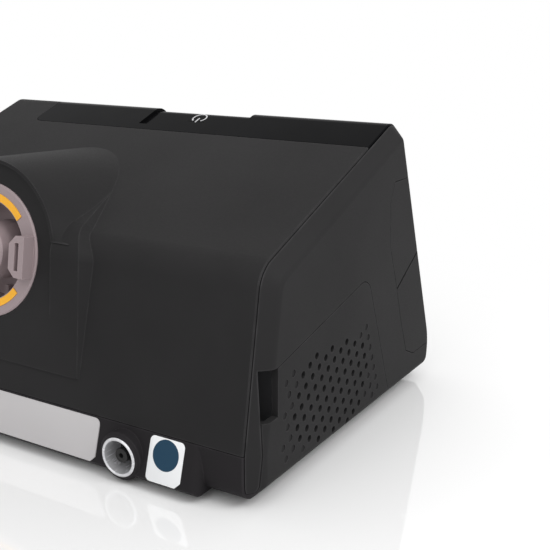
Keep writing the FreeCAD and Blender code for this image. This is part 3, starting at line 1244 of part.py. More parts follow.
keep("blower_motor", on_blower(turned("blower_motor", (
    ("0", "0"), ("motor_radius", "0"), ("motor_radius", "motor_height-1"), ("motor_radius-1", "motor_height"),
    ("motor_shaft", "motor_height"), ("motor_shaft", "motor_height+impeller_height"), ("0", "motor_height+impeller_height"),
))))
HUB_BORE = "(motor_shaft+shaft_fit)"
impeller = turned("impeller_turned", (
    (HUB_BORE, "motor_height+0.8"), ("impeller_radius", "motor_height+0.8"), ("impeller_radius", "motor_height+2"),
    ("motor_shaft+5", "motor_height+2.6"), ("motor_shaft+2.5", "motor_height+impeller_height-0.5"),
    (HUB_BORE, "motor_height+impeller_height-0.5"),
))
blade = new_sketch(impeller, "blade_outline", "XY_Plane", "motor_height+1.6")
outline(blade, (
    ("motor_shaft+4.5", "-0.5"), ("impeller_radius*0.6", "1.6"), ("impeller_radius-0.8", "5.5"),
    ("impeller_radius-1.4", "6.6"), ("impeller_radius*0.57", "2.8"), ("motor_shaft+4", "0.6"),
))
pad(impeller, blade, "impeller_height-3.6", "blade")
doc.recompute()
blades = impeller.newObject("PartDesign::PolarPattern", "blades")
blades.Originals = [impeller.Tip]
blades.Axis = (blade, ["N_Axis"])
blades.Angle = 360.0
blades.Occurrences = 11
impeller.Tip = blades
keep("impeller", on_blower(impeller))


def pipe(points, bend, radius):
    """A round bar of straight runs and tangent bends."""
    pieces = []
    start = points[0]
    for index in range(1, len(points) - 1):
        before = (points[index] - points[index - 1]).normalize()
        after = (points[index + 1] - points[index]).normalize()
        half = math.acos(max(-1.0, min(1.0, before.dot(after)))) / 2
        back = bend * math.tan(half)
        first = points[index] - before * back
        centre = points[index] + (after - before).normalize() * (bend / math.cos(half))
        ring = Part.Face(Part.Wire(Part.Circle(first, before, radius).toShape()))
        pieces.append(Part.makeCylinder(radius, (first - start).Length, start, before))
        pieces.append(ring.revolve(centre, before.cross(after), math.degrees(2 * half)))
        start = points[index] + after * back
    pieces.append(Part.makeCylinder(radius, (points[-1] - start).Length, start, points[-1] - start))
    return pieces[0].multiFuse(pieces[1:]).removeSplitter()


def duct(name, stops, bend, radius):
    """A round duct through a row of stops, each given by three expressions."""
    points = [Vector(*(measure(value) for value in stop)) for stop in stops]
    outer = pipe(points, measure(bend), measure(radius) + measure("duct_wall"))
    inner = pipe(points, measure(bend), measure(radius))
    thing = doc.addObject("Part::Feature", name)
    thing.Shape = outer.cut(inner)
    return thing


SPOUT_Y = "(blower_y-blower_radius+spout_width/2)"
SPOUT_END = "(blower_x+blower_radius+6)"
LINER_FACE = "(bay_left-case_wall)"
RISER_X = "((%s+%s)/2)" % (SPOUT_END, LINER_FACE)
keep("air_duct", duct("air_duct", (
    (SPOUT_END, "tub_inlet_y", VOLUTE_MID), (RISER_X, "tub_inlet_y", VOLUTE_MID),
    (RISER_X, "tub_inlet_y", "tub_port_height"), (LINER_FACE, "tub_inlet_y", "tub_port_height"),
), "duct_bend", "tub_port_radius-duct_wall"))
SOCKET_BACK = "(%s-duct_wall)" % SOCKET_FLOOR
PORT_Y = "(%s+(%s)*cos(wall_lean))" % (OUTLET_Y, SOCKET_BACK)
PORT_Z = "(outlet_height+(%s)*sin(wall_lean))" % SOCKET_BACK
keep("outlet_duct", duct("outlet_duct", (
    ("outlet_offset", PORT_Y, PORT_Z),
    ("outlet_offset", "%s-elbow_lead*cos(wall_lean)" % PORT_Y, "%s-elbow_lead*sin(wall_lean)" % PORT_Z),
    ("outlet_offset", "tub_outlet_y", "tub_port_height"), (LINER_FACE, "tub_outlet_y", "tub_port_height"),
), "elbow_bend", "elbow_radius"))

# ---------------------------------------------------------------- inner deck and circuit boards

DECK_TOP = "(deck_height+case_wall)"
deck_plate = block("deck_plate", ("deck_left", "deck_right"), ("deck_front", "deck_back"),
                   ("deck_height", DECK_TOP))
legs = []
for across in ("deck_left+deck_leg*3", "deck_right-deck_leg"):
    for along in ("deck_front+deck_leg*2", "deck_back-deck_leg"):
        legs.append(disc("deck_leg_%d" % len(legs), "Z", across, along, "deck_leg", FLOOR_Z,
                         "deck_height+case_wall/2"))
studs = []
for across in ("board_left+4", "board_right-4"):
    for along in ("board_front+4", "board_back-4"):
        studs.append(disc("board_stud_%d" % len(studs), "Z", across, along, "2.5", "%s-1" % DECK_TOP,
                          "%s+board_stand" % DECK_TOP))
keep("inner_deck", fuse("inner_deck", deck_plate, *legs, *studs))
BOARD_FOOT = "(%s+board_stand)" % DECK_TOP
keep("main_board", block("main_board", ("board_left", "board_right"), ("board_front", "board_back"),
                         (BOARD_FOOT, "%s+board_thickness" % BOARD_FOOT)))
keep("main_components", fuse("main_components", *[
    block("component_%d" % number, ("board_left+%s" % left, "board_left+%s+%s" % (left, wide)),
          ("board_front+%s" % front, "board_front+%s+%s" % (front, long)),
          ("%s+board_thickness" % BOARD_FOOT, "%s+board_thickness+%s" % (BOARD_FOOT, high)))
    for number, (left, front, wide, long, high) in enumerate((
        (10, 12, 14, 14, 2), (34, 14, 10, 18, 3), (12, 40, 18, 12, 6), (42, 44, 12, 12, 8)))
]))
parts["main_components"].Refine = False

keep("comms_board", block("comms_board", ("%s+7" % COVER_INNER, "%s+45" % COVER_INNER),
                          ("card_plane+card_socket/2", "card_plane+card_socket/2+board_thickness"),
                          (DECK_TOP, "%s+28" % DECK_TOP)))
SLOT_ROOM = "(turn_clearance/2)"
socket_block = block("sd_socket_block", ("%s+8" % COVER_INNER, "%s+card_length+6" % COVER_INNER),
                     ("card_plane-card_socket/2", "card_plane+card_socket/2"), (DECK_TOP, "socket_top"))
socket_slot = block("sd_socket_slot", ("-%s" % FAR, "%s+4.6+card_length+press_travel+0.4" % COVER_INNER),
                    ("card_plane-card_thickness/2-%s" % SLOT_ROOM, "card_plane+card_thickness/2+%s" % SLOT_ROOM),
                    ("card_foot-%s" % SLOT_ROOM, "card_foot+card_width+%s" % SLOT_ROOM))
keep("sd_socket", cut("sd_socket", socket_block, socket_slot))
keep("sd_card", prism("sd_card", "Y", (
    ("%s+4.6" % COVER_INNER, "card_foot"), ("%s+4.6+card_length" % COVER_INNER, "card_foot"),
    ("%s+4.6+card_length" % COVER_INNER, "card_foot+card_width-4"),
    ("%s+0.6+card_length" % COVER_INNER, "card_foot+card_width"), ("%s+4.6" % COVER_INNER, "card_foot+card_width"),
), "card_plane-card_thickness/2", "card_plane+card_thickness/2"))
link_block = block("link_block", ("%s+6" % COVER_INNER, "%s+13" % COVER_INNER),
                   ("link_y-5", "link_y+5"), (FLOOR_Z, "link_height"))
link_slot = block("link_slot", ("-%s" % FAR, "%s+10" % COVER_INNER), ("link_y-1.5", "link_y+1.5"),
                  ("link_height-22", "link_height-3"))
keep("adapter_connector", cut("adapter_connector", link_block, link_slot))

# ---------------------------------------------------------------- check and write

doc.removeObject("gauge")
settle()
for item in doc.Objects:
    if {"Invalid", "Error"} & set(item.State):
        raise RuntimeError("failed to build: %s %s" % (item.Name, item.State))
for name, item in parts.items():
    shape = item.Shape
    if shape.isNull() or not shape.isValid() or not shape.Solids:
        raise RuntimeError("no sound solid: " + name)
os.makedirs("parts", exist_ok=True)
for name, item in parts.items():
    item.Shape.exportStep("parts/%s.step" % name)
print("%d sub-parts written" % len(parts))
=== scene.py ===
"""Finishes, small fittings and a plain studio for the bedside air machine.

The packed model is the fixed frame: it is loaded first, and every piece is placed from its nodes' boxes
and faces. Lengths are in metres. +Z is up, the screen faces -Y, the air outlet faces +Y and the filter
side faces -X.
"""

import math

import bmesh
import bpy
from bpy.props import FloatProperty, FloatVectorProperty, IntProperty, PointerProperty
from mathutils import Matrix, Vector, noise
from mathutils.bvhtree import BVHTree


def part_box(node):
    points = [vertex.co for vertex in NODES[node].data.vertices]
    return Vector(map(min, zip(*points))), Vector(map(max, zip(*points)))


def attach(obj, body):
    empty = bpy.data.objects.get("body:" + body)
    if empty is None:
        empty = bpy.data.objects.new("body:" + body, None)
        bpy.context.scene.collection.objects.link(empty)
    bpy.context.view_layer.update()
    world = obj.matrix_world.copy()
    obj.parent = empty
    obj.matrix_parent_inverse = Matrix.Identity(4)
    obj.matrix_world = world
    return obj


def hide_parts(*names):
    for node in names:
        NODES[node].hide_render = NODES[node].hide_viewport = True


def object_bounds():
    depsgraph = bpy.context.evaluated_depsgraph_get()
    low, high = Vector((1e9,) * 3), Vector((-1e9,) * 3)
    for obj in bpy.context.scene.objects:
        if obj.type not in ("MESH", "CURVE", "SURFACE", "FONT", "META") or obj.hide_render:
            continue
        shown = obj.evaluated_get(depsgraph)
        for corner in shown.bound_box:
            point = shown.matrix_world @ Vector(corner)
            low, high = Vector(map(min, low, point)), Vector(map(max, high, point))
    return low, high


bl_info = {
    "name": "Bedside Air Machine Finishes",
    "version": (1, 0, 0),
    "blender": (4, 5, 0),
    "location": "View3D > Sidebar > Air Machine",
    "description": "Finishes, small fittings and a studio for a bedside air machine",
    "category": "Object",
}

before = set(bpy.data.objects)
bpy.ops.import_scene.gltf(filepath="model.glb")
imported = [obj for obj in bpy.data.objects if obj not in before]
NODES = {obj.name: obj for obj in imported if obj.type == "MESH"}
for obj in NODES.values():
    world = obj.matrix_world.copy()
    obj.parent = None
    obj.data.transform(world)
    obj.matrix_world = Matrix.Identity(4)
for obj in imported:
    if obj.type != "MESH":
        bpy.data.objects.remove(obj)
CAD_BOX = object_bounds()

SHARP = math.radians(35)  # edges that turn by more than this stay sharp
STAND_OFF = 0.05  # how far outside a node its face is looked for from
DISC_SIDES = 64
EDGE_WEAR_AND_HIGHLIGHT = 2.4  # how much lighter a fully worn edge is, with its painted highlight
DUST_COLOUR = (0.10, 0.097, 0.092)
BLACK = (0.0, 0.0, 0.0, 1.0)
WHITE = (1.0, 1.0, 1.0, 1.0)
LIT_POINT = (0.0, 0.0, 0.05)  # what the light panels face
NEAREST = 0.01  # the camera draws nothing nearer than this


# ------ what a user would change

def colour(name, description, default):
    """A colour property with plain linear red, green and blue."""
    return FloatVectorProperty(
        name=name, description=description, subtype="COLOR", size=3, min=0.0, max=1.0, default=default
    )


def length(name, description, default):
    """A length property in metres."""
    return FloatProperty(name=name, description=description, unit="LENGTH", precision=5, default=default)


def share(name, description, default):
    """A property from nothing to all."""
    return FloatProperty(
        name=name, description=description, subtype="FACTOR", min=0.0, max=1.0, default=default
    )


def angle(name, description, degrees):
    """An angle property, with its default in degrees."""
    return FloatProperty(name=name, description=description, subtype="ANGLE", default=math.radians(degrees))


def brightness(name, description, default, unit="NONE"):
    """A property for how strong a light is."""
    return FloatProperty(name=name, description=description, unit=unit, default=default)


def spot(name, description, default):
    """A property for a place in metres."""
    return FloatVectorProperty(name=name, description=description, subtype="TRANSLATION", default=default)


class HousingLook(bpy.types.PropertyGroup):
    """Moulded covers of the machine"""

    shell_colour: colour("Shell", "Graphite plastic of the shell and its covers", (0.0228, 0.0223, 0.0229))
    base_colour: colour("Base", "Darker plastic of the base tray", (0.0215, 0.0200, 0.0215))
    gloss_colour: colour("Bezel", "Polished black plastic of the front bezel", (0.0045, 0.0045, 0.005))
    rubber_colour: colour("Feet", "Matt rubber of the feet", (0.014, 0.014, 0.014))
    shell_roughness: share("Shell roughness", "How matt the textured plastic is", 0.52)
    gloss_roughness: share("Bezel roughness", "How matt the polished plastic is", 0.09)
    grain_size: length("Grain size", "Width of one grain of the moulded texture", 0.0004)
    grain_depth: length("Grain depth", "Height of the moulded texture", 0.000014)
    # painted highlight along convex edges, together with handling wear
    edge_rub_and_highlight: share("Edge rub", "How far the edges are lighter, from handling wear and a painted highlight", 0.65)
    dust: share("Dust", "How much fine dust lies on the faces that look up", 0.04)


class OutletLook(bpy.types.PropertyGroup):
    """Air outlet and power inlet"""

    ring_colour: colour("Connector", "Warm grey plastic of the outlet connector", (0.300, 0.238, 0.246))
    mark_colour: colour("Marks", "Orange of the two marks on the ring", (0.88, 0.43, 0.022))
    socket_colour: colour("Socket", "Dark plastic behind the connector", (0.03, 0.028, 0.03))
    nickel_colour: colour("Nickel", "Plating of the power inlet", (0.66, 0.66, 0.68))
    ring_roughness: share("Connector roughness", "How matt the connector is", 0.36)
    nickel_roughness: share("Nickel roughness", "How matt the plating is", 0.2)


class PlateLook(bpy.types.PropertyGroup):
    """Bare plate and sticker on the rear of the base"""

    plate_left: length("Plate outer end", "End of the plate towards the power inlet", -0.0387)
    plate_right: length("Plate inner end", "End of the plate towards the tub", 0.054)
    plate_bottom: length("Plate foot", "Height of the plate's lower edge", 0.0046)
    plate_top: length("Plate head", "Height of the plate's upper edge", 0.0193)
    plate_corner: length("Plate corner", "Radius of the plate's corners", 0.0024)
    cut_corner: length("Cut corner", "Cut across the lower outer corner of plate and sticker", 0.0020)
    plate_thickness: length("Plate thickness", "Thickness of the plate", 0.00035)
    plate_colour: colour("Plate", "Silver grey film of the plate", (0.49, 0.475, 0.48))
    sticker_left: length("Sticker outer side", "Side of the sticker away from the power inlet", -0.0752)
    sticker_right: length("Sticker inner side", "Side of the sticker towards the power inlet", -0.0610)
    sticker_bottom: length("Sticker foot", "Height of the sticker's lower edge", 0.0044)
    sticker_top: length("Sticker head", "Height of the sticker's upper edge", 0.0192)
    sticker_corner: length("Sticker corner", "Radius of the sticker's corners", 0.0018)
    sticker_thickness: length("Sticker thickness", "Thickness of the sticker, twice the disc's", 0.00016)
    sticker_colour: colour("Sticker", "White film of the sticker", (0.84, 0.85, 0.86))
    disc_colour: colour("Disc", "Plain blue disc on the sticker", (0.010, 0.045, 0.085))
    disc_radius: length("Disc radius", "Radius of the blue disc", 0.0053)
    disc_height: length("Disc height", "Height of the disc's centre", 0.0138)


class ControlLook(bpy.types.PropertyGroup):
    """Buttons, dial and screen"""

    symbol_radius: length("Symbol radius", "Middle radius of the power symbol's ring", 0.0031)
    symbol_width: length("Symbol line", "Width of the power symbol's lines", 0.0006)
    symbol_thickness: length("Print thickness", "Thickness of the printed symbol", 0.00008)
    symbol_colour: colour("Symbol", "Pale grey of the printed symbol", (0.55, 0.55, 0.56))
    symbol_gap: angle("Symbol gap", "Half of the opening in the power symbol's ring", 36)
    glass_colour: colour("Screen", "Dark window over the screen", (0.006, 0.007, 0.009))
    dial_colour: colour("Dial ring", "Plated trim ring round the dial", (0.46, 0.46, 0.48))
    lens_colour: colour("Status light", "Light guide of the status light, unlit", (0.16, 0.34, 0.22))


class TubLook(bpy.types.PropertyGroup):
    """Humidifier tub and heater"""

    tub_colour: colour("Tub", "Clear smoked plastic of the tub", (0.72, 0.76, 0.80))
    seal_colour: colour("Seals", "Soft silicone of the seals", (0.34, 0.35, 0.36))
    heater_colour: colour("Heater", "Anodised plate of the heater", (0.60, 0.60, 0.61))
    tub_roughness: share("Tub roughness", "How frosted the tub's plastic is", 0.10)
    level_height: length("Fill level", "Height of the moulded fill line above the tub's foot", 0.0225)
    level_length: length("Fill line length", "Length of the moulded fill line", 0.046)
    level_width: length("Fill line width", "Width of the moulded fill line", 0.0008)
    level_proud: length("Fill line depth", "How far the moulded fill line stands out", 0.00025)


class InsideLook(bpy.types.PropertyGroup):
    """Filter, blower, boards and card"""

    pad_colour: colour("Filter pad", "White pressed fibre of the filter", (0.80, 0.80, 0.77))
    inner_colour: colour("Inner plastic", "Plain plastic inside the housing", (0.10, 0.10, 0.105))
    fan_colour: colour("Fan", "Moulded impeller", (0.62, 0.62, 0.60))
    board_colour: colour("Boards", "Solder mask of the boards", (0.012, 0.085, 0.035))
    copper_colour: colour("Tracks", "Tracks under the solder mask", (0.03, 0.16, 0.06))
    chip_colour: colour("Chips", "Moulded chips and connectors", (0.014, 0.014, 0.015))
    steel_colour: colour("Steel", "Plated sheet steel", (0.52, 0.52, 0.53))
    card_colour: colour("Card", "Case of the memory card", (0.022, 0.04, 0.085))
    fibre_height: length("Fibre height", "How far the pad's surface goes up and down", 0.00022)
    pad_round: length("Pad edge", "Radius of the pad's soft edges", 0.0016)
    screw_radius: length("Screw head radius", "Radius of the heads of the screws under the base", 0.0028)
    screw_height: length("Screw head height", "Height of the screw heads", 0.0014)
    recess_width: length("Screw recess", "Width of the cross recess in a screw head", 0.0008)
    screw_sink: length("Screw seat", "How far the screw heads are let into the base", 0.0003)
    screw_across: length("Screw rows", "Distance between the outer screws, across the machine", 0.140)
    screw_along: length("Screw lines", "Distance between the two rows of screws, front to back", 0.086)
    pin_pitch: length("Pin pitch", "Distance between the pins of the header", 0.00254)
    pin_count: IntProperty(name="Pins", description="Pins in the main board's header", min=2, default=10)
    pin_width: length("Pin width", "Width of a pin", 0.00064)
    pin_height: length("Pin height", "Height of a pin above the board", 0.006)
    pin_inset: length("Pin place", "Distance of the header from the board's edges", 0.008)


class StageLook(bpy.types.PropertyGroup):
    """Floor, lights and camera"""

    floor_colour: colour("Floor", "Pale studio floor", (0.93, 0.93, 0.93))
    floor_roughness: share("Floor roughness", "How matt the floor is", 0.04)
    floor_clear: length("Shadow reach", "Where the floor has faded into the backdrop", 0.30)
    fade_start: share("Fade start", "Part of the shadow reach at which the floor starts to fade", 0.48)
    floor_reach: length("Floor reach", "From the floor's middle to its sides", 3.0)
    world_light: brightness("Soft light", "Strength of the light from all round", 0.72)
    key_power: brightness("Overhead light", "Power of the overhead panel", 4.2, "POWER")
    key_size: length("Overhead size", "Width of the overhead panel", 1.1)
    key_place: spot("Overhead place", "Where the overhead panel hangs", (-0.25, 0.85, 1.05))
    side_power: brightness("Side light", "Power of the side panel", 7.2, "POWER")
    side_size: length("Side size", "Width of the side panel", 0.6)
    side_place: spot("Side place", "Where the side panel hangs", (-0.95, 0.1, 0.95))
    camera_place: spot("Camera", "Where the camera stands", (-0.2442, 0.2920, 0.1556))
    camera_turn: angle("Camera turn", "How far the view turns from -Y towards +X", 31.358)
    camera_dip: angle("Camera dip", "How far the view looks down", 15.919)
    camera_angle: angle("Field of view", "Width of the square picture", 32.96)


# ------ nodes and shared effects

def feed(tree, node, inputs):
    """Gives each named input of a node its plain value, or the socket that feeds it."""
    for name, value in inputs.items():
        if isinstance(value, bpy.types.NodeSocket):
            tree.links.new(value, node.inputs[name])
        else:
            node.inputs[name].default_value = value


def put(tree, kind, inputs=None, **settings):
    """Adds a node with its settings and inputs."""
    node = tree.nodes.new(kind)
    for name, value in settings.items():
        setattr(node, name, value)
    feed(tree, node, inputs or {})
    return node


def arithmetic(tree, operation, first, second):
    """One step of arithmetic on values."""
    return put(tree, "ShaderNodeMath", {0: first, 1: second}, operation=operation).outputs[0]


def times(tree, first, second):
    """Two values multiplied."""
    return arithmetic(tree, "MULTIPLY", first, second)


def spread(tree, value, low=0.0, high=1.0, new_low=0.0, new_high=1.0, **settings):
    """Takes the range from low to high to another one, without going past its ends."""
    ends = {"Value": value, "From Min": low, "From Max": high, "To Min": new_low, "To Max": new_high}
    return put(tree, "ShaderNodeMapRange", ends, **settings).outputs[0]


def blend(tree, factor, first, second):
    """Mixes two colours."""
    return put(tree, "ShaderNodeMix", {0: factor, 6: first, 7: second}, data_type="RGBA").outputs[2]


def clouds(tree, place, scale, detail):
    """Cloudy noise over the surface."""
    texture = put(tree, "ShaderNodeTexNoise", {"Vector": place, "Scale": scale, "Detail": detail})
    return texture.outputs["Fac"]


def relief(tree, depth, height):
    """The normal of a fine relief with that depth."""
    bump = put(tree, "ShaderNodeBump", {"Strength": 1.0, "Distance": depth, "Height": height})
    return bump.outputs["Normal"]


def opaque(rgb, lighter=1.0):
    """A colour with its alpha, made lighter or darker."""
    return tuple(min(1.0, part * lighter) for part in rgb) + (1.0,)


def start_group(name, inputs, outputs):
    """A shader node group that takes coordinates and named inputs, what they give, and its end node."""
    group = bpy.data.node_groups.new(name, "ShaderNodeTree")
    group.interface.new_socket(name="Coordinates", in_out="INPUT", socket_type="NodeSocketVector")
    for label, default in inputs.items():
        kind = "NodeSocketFloat" if isinstance(default, float) else "NodeSocketVector"
        group.interface.new_socket(name=label, in_out="INPUT", socket_type=kind).default_value = default
    for label in outputs:
        kind = "NodeSocketVector" if label == "Normal" else "NodeSocketFloat"
        group.interface.new_socket(name=label, in_out="OUTPUT", socket_type=kind)
    return group, group.nodes.new("NodeGroupInput").outputs, group.nodes.new("NodeGroupOutput")


def mould_grain_group():
    """The fine texture of a mould, and a slow drift of tone over the surface."""
    group, given, ends = start_group(
        "Mould Grain", {"Grain Size": 0.0005, "Grain Depth": 0.00003, "Drift Size": 0.05},
        ("Normal", "Tone", "Grain"),
    )
    grains = arithmetic(group, "DIVIDE", 1.0, given["Grain Size"])
    drifts = arithmetic(group, "DIVIDE", 1.0, given["Drift Size"])
    grain = clouds(group, given["Coordinates"], grains, detail=1.5)
    drift = clouds(group, given["Coordinates"], drifts, detail=3.0)
    feed(group, ends, {
        "Normal": relief(group, given["Grain Depth"], grain),
        "Tone": spread(group, drift, low=0.32, high=0.68),
        "Grain": spread(group, grain, low=0.3, high=0.7),
    })
    return group


def edge_wear_and_highlight_group():
    """Where a surface turns sharply, broken up in patches: wear from handling, and also a painted highlight
    along convex edges.
    """
    group, given, ends = start_group("Edge Rub", {"Reach": 0.0006}, ("Rub And Highlight",))
    rounded = put(group, "ShaderNodeBevel", {"Radius": given["Reach"]}, samples=4).outputs["Normal"]
    flat = put(group, "ShaderNodeNewGeometry").outputs["Normal"]
    same = put(group, "ShaderNodeVectorMath", {0: rounded, 1: flat}, operation="DOT_PRODUCT")
    turned = spread(group, same.outputs["Value"], low=0.995, high=0.90)
    patches = clouds(group, given["Coordinates"], scale=140.0, detail=4.0)
    worn = spread(group, patches, low=0.35, high=0.62, new_low=0.35)
    feed(group, ends, {"Rub And Highlight": times(group, turned, worn)})
    return group


def dust_group():
    """Fine dust on faces that look up."""
    group, given, ends = start_group("Settled Dust", {}, ("Dust",))
    facing = put(group, "ShaderNodeNewGeometry").outputs["Normal"]
    upward = put(group, "ShaderNodeSeparateXYZ", {0: facing}).outputs["Z"]
    lying = spread(group, upward, low=0.45)
    specks = clouds(group, given["Coordinates"], scale=900.0, detail=2.0)
    specks = spread(group, specks, low=0.42, high=0.75, new_low=0.2)
    feed(group, ends, {"Dust": times(group, lying, specks)})
    return group


def brushing_group():
    """Fine lines along one direction, as on drawn or plated metal."""
    group, given, ends = start_group(
        "Brushing", {"Stretch": (1.0, 1.0, 1.0), "Line Depth": 0.00001}, ("Normal", "Line")
    )
    factors = {0: given["Coordinates"], 1: given["Stretch"]}
    drawn = put(group, "ShaderNodeVectorMath", factors, operation="MULTIPLY").outputs["Vector"]
    line = clouds(group, drawn, scale=1.0, detail=3.0)
    feed(group, ends, {
        "Normal": relief(group, given["Line Depth"], line),
        "Line": spread(group, line, low=0.3, high=0.7),
    })
    return group


def fibre_group():
    """Crossed fibres pressed into a felt."""
    group, given, ends = start_group(
        "Pressed Fibre", {"Fibre Width": 0.0003, "Height": 0.0001}, ("Normal", "Shade")
    )
    fineness = arithmetic(group, "DIVIDE", 1.0, given["Fibre Width"])
    layers = []
    for stretch in ((1.0, 0.16, 1.0), (1.0, 1.0, 0.16)):
        laid = put(
            group, "ShaderNodeMapping",
            {"Vector": given["Coordinates"], "Rotation": (0.6, 0.0, 0.0), "Scale": stretch},
        ).outputs["Vector"]
        layers.append(clouds(group, laid, fineness, detail=2.0))
    pressed = arithmetic(group, "MAXIMUM", *layers)
    feed(group, ends, {
        "Normal": relief(group, given["Height"], pressed),
        "Shade": spread(group, pressed, low=0.45, high=0.72),
    })
    return group


GROUP_MAKERS = {
    "Mould Grain": mould_grain_group,
    "Edge Rub": edge_wear_and_highlight_group,
    "Settled Dust": dust_group,
    "Brushing": brushing_group,
    "Pressed Fibre": fibre_group,
}


def effect(tree, name, inputs=None):
    """Places a shared effect in a material with its own values, and gives its outputs."""
    group = bpy.data.node_groups.get(name) or GROUP_MAKERS[name]()
    coordinates = put(tree, "ShaderNodeTexCoord").outputs["Object"]
    values = {"Coordinates": coordinates, **(inputs or {})}
    return put(tree, "ShaderNodeGroup", values, node_tree=group).outputs


# ------ finishes

def start_finish(name):
    """A new material, its tree and its shader."""
    finish = bpy.data.materials.new(name)
    finish.use_nodes = True
    tree = finish.node_tree
    return finish, tree, tree.nodes["Principled BSDF"]


def mould_grain(tree, size, depth, drift):
    """The moulded texture in a material."""
    return effect(tree, "Mould Grain", {"Grain Size": size, "Grain Depth": depth, "Drift Size": drift})


def toned(tree, mask, rgb, darker, lighter):
    """A colour that a mask takes from darker to lighter."""
    return blend(tree, mask, opaque(rgb, darker), opaque(rgb, lighter))


def moulded(name, rgb, roughness, grain, depth, rub_and_highlight=0.0, dust=0.0, specular=0.4, drift=0.12):
    """Textured moulded plastic or rubber, lighter on its edges from handling wear and a painted highlight,
    with a little dust.
    """
    finish, tree, shader = start_finish(name)
    surface = mould_grain(tree, grain, depth, drift=0.06)
    tone = toned(tree, surface["Tone"], rgb, 1.0 - drift, 1.0 + drift)
    # edges lightened: handling wear together with a painted highlight on convex edges
    if rub_and_highlight:
        edge_wear_and_highlight = times(tree, effect(tree, "Edge Rub", {"Reach": 0.0007})["Rub And Highlight"], rub_and_highlight)
        tone = blend(tree, edge_wear_and_highlight, tone, opaque(rgb, EDGE_WEAR_AND_HIGHLIGHT))
    if dust:
        dusty = times(tree, effect(tree, "Settled Dust")["Dust"], dust)
        tone = blend(tree, dusty, tone, opaque(DUST_COLOUR))
    feed(tree, shader, {
        "Base Color": tone,
        "Roughness": spread(tree, surface["Grain"], new_low=roughness - 0.05, new_high=roughness + 0.07),
        "Normal": surface["Normal"],
        "Specular IOR Level": specular,
    })
    return finish


def polished(name, rgb, roughness, specular=0.5, coat=0.0, smudge=0.06):
    """Polished plastic or glass over black, with the faint smudges of handling."""
    finish, tree, shader = start_finish(name)
    surface = mould_grain(tree, size=0.004, depth=0.000004, drift=0.02)
    feed(tree, shader, {
        "Base Color": toned(tree, surface["Tone"], rgb, darker=0.9, lighter=1.12),
        "Roughness": spread(tree, surface["Tone"], new_low=roughness, new_high=roughness + smudge),
        "Normal": surface["Normal"],
        "Specular IOR Level": specular,
        "Coat Weight": coat,
        "Coat Roughness": 0.04,
    })
    return finish


def metal(name, rgb, roughness, stretch, metallic=1.0):
    """Plated or anodised metal with fine lines along one direction; a satin plating is less metallic."""
    finish, tree, shader = start_finish(name)
    lines = effect(tree, "Brushing", {"Stretch": stretch, "Line Depth": 0.000006})
    feed(tree, shader, {
        "Base Color": toned(tree, lines["Line"], rgb, darker=0.88, lighter=1.06),
        "Roughness": spread(tree, lines["Line"], new_low=roughness - 0.05, new_high=roughness + 0.10),
        "Normal": lines["Normal"],
        "Metallic": metallic,
    })
    return finish


def clear_plastic(name, rgb, roughness):
    """Clear smoked plastic, a little frosted inside the mould."""
    finish, tree, shader = start_finish(name)
    surface = mould_grain(tree, size=0.0012, depth=0.000008, drift=0.03)
    feed(tree, shader, {
        "Base Color": toned(tree, surface["Tone"], rgb, darker=0.97, lighter=1.03),
        "Roughness": spread(tree, surface["Tone"], new_low=roughness, new_high=roughness + 0.07),
        "Normal": surface["Normal"],
        "Transmission Weight": 1.0,
        "IOR": 1.58,
    })
    return finish


def felt(name, rgb, height):
    """Pressed white fibre."""
    finish, tree, shader = start_finish(name)
    fibres = effect(tree, "Pressed Fibre", {"Fibre Width": 0.0004, "Height": height})
    feed(tree, shader, {
        "Base Color": toned(tree, fibres["Shade"], rgb, darker=0.72, lighter=1.05),
        "Roughness": 0.95,
        "Normal": fibres["Normal"],
        "Sheen Weight": 0.25,
    })
    return finish


def board_finish(name, rgb, track_rgb):
    """Solder mask over rows of tracks, under a thin gloss."""
    finish, tree, shader = start_finish(name)
    surface = mould_grain(tree, size=0.001, depth=0.000006, drift=0.02)
    tracks = put(tree, "ShaderNodeTexBrick", {
        "Vector": put(tree, "ShaderNodeTexCoord").outputs["Object"], "Scale": 1.0,
        "Color1": BLACK, "Color2": BLACK, "Mortar": WHITE,
        "Mortar Size": 0.0003, "Brick Width": 0.0085, "Row Height": 0.0017,
    }).outputs["Color"]
    tone = blend(tree, tracks, opaque(rgb), opaque(track_rgb))
    feed(tree, shader, {
        "Base Color": blend(tree, times(tree, surface["Tone"], 0.3), tone, opaque(rgb, 1.5)),
        "Roughness": spread(tree, surface["Tone"], new_low=0.28, new_high=0.42),
        "Normal": surface["Normal"],
    })
    return finish


def paint_nodes(finish, *names):
    """Gives CAD nodes their finish."""
    for name in names:
        for held in NODES[name].material_slots:
            held.material = finish


# ------ objects and meshes

def new_object(name, data):
    """Puts a mesh, light or camera in the scene."""
    made = bpy.data.objects.new(name, data)
    bpy.context.scene.collection.objects.link(made)
    return made


def mesh_object(name, mesh, finish):
    """Writes mesh work as an object with its finish."""
    data = bpy.data.meshes.new(name)
    mesh.to_mesh(data)
    mesh.free()
    data.materials.append(finish)
    return new_object(name, data)


def keep_piece(piece, body):
    """Smooths a piece and lets it ride on a body."""
    smooth_by_angle(piece)
    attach(piece, body)
    return piece


def smooth_by_angle(piece):
    """Smooth shading with sharp edges where the faces turn by more than SHARP."""
    mesh = bmesh.new()
    mesh.from_mesh(piece.data)
    for face in mesh.faces:
        face.smooth = True
    for edge in mesh.edges:
        edge.smooth = len(edge.link_faces) == 2 and edge.calc_face_angle(0.0) < SHARP
    mesh.to_mesh(piece.data)
    mesh.free()


def on_circle(turn, radius):
    """A point on a circle round the origin."""
    return Vector((math.cos(turn), math.sin(turn))) * radius


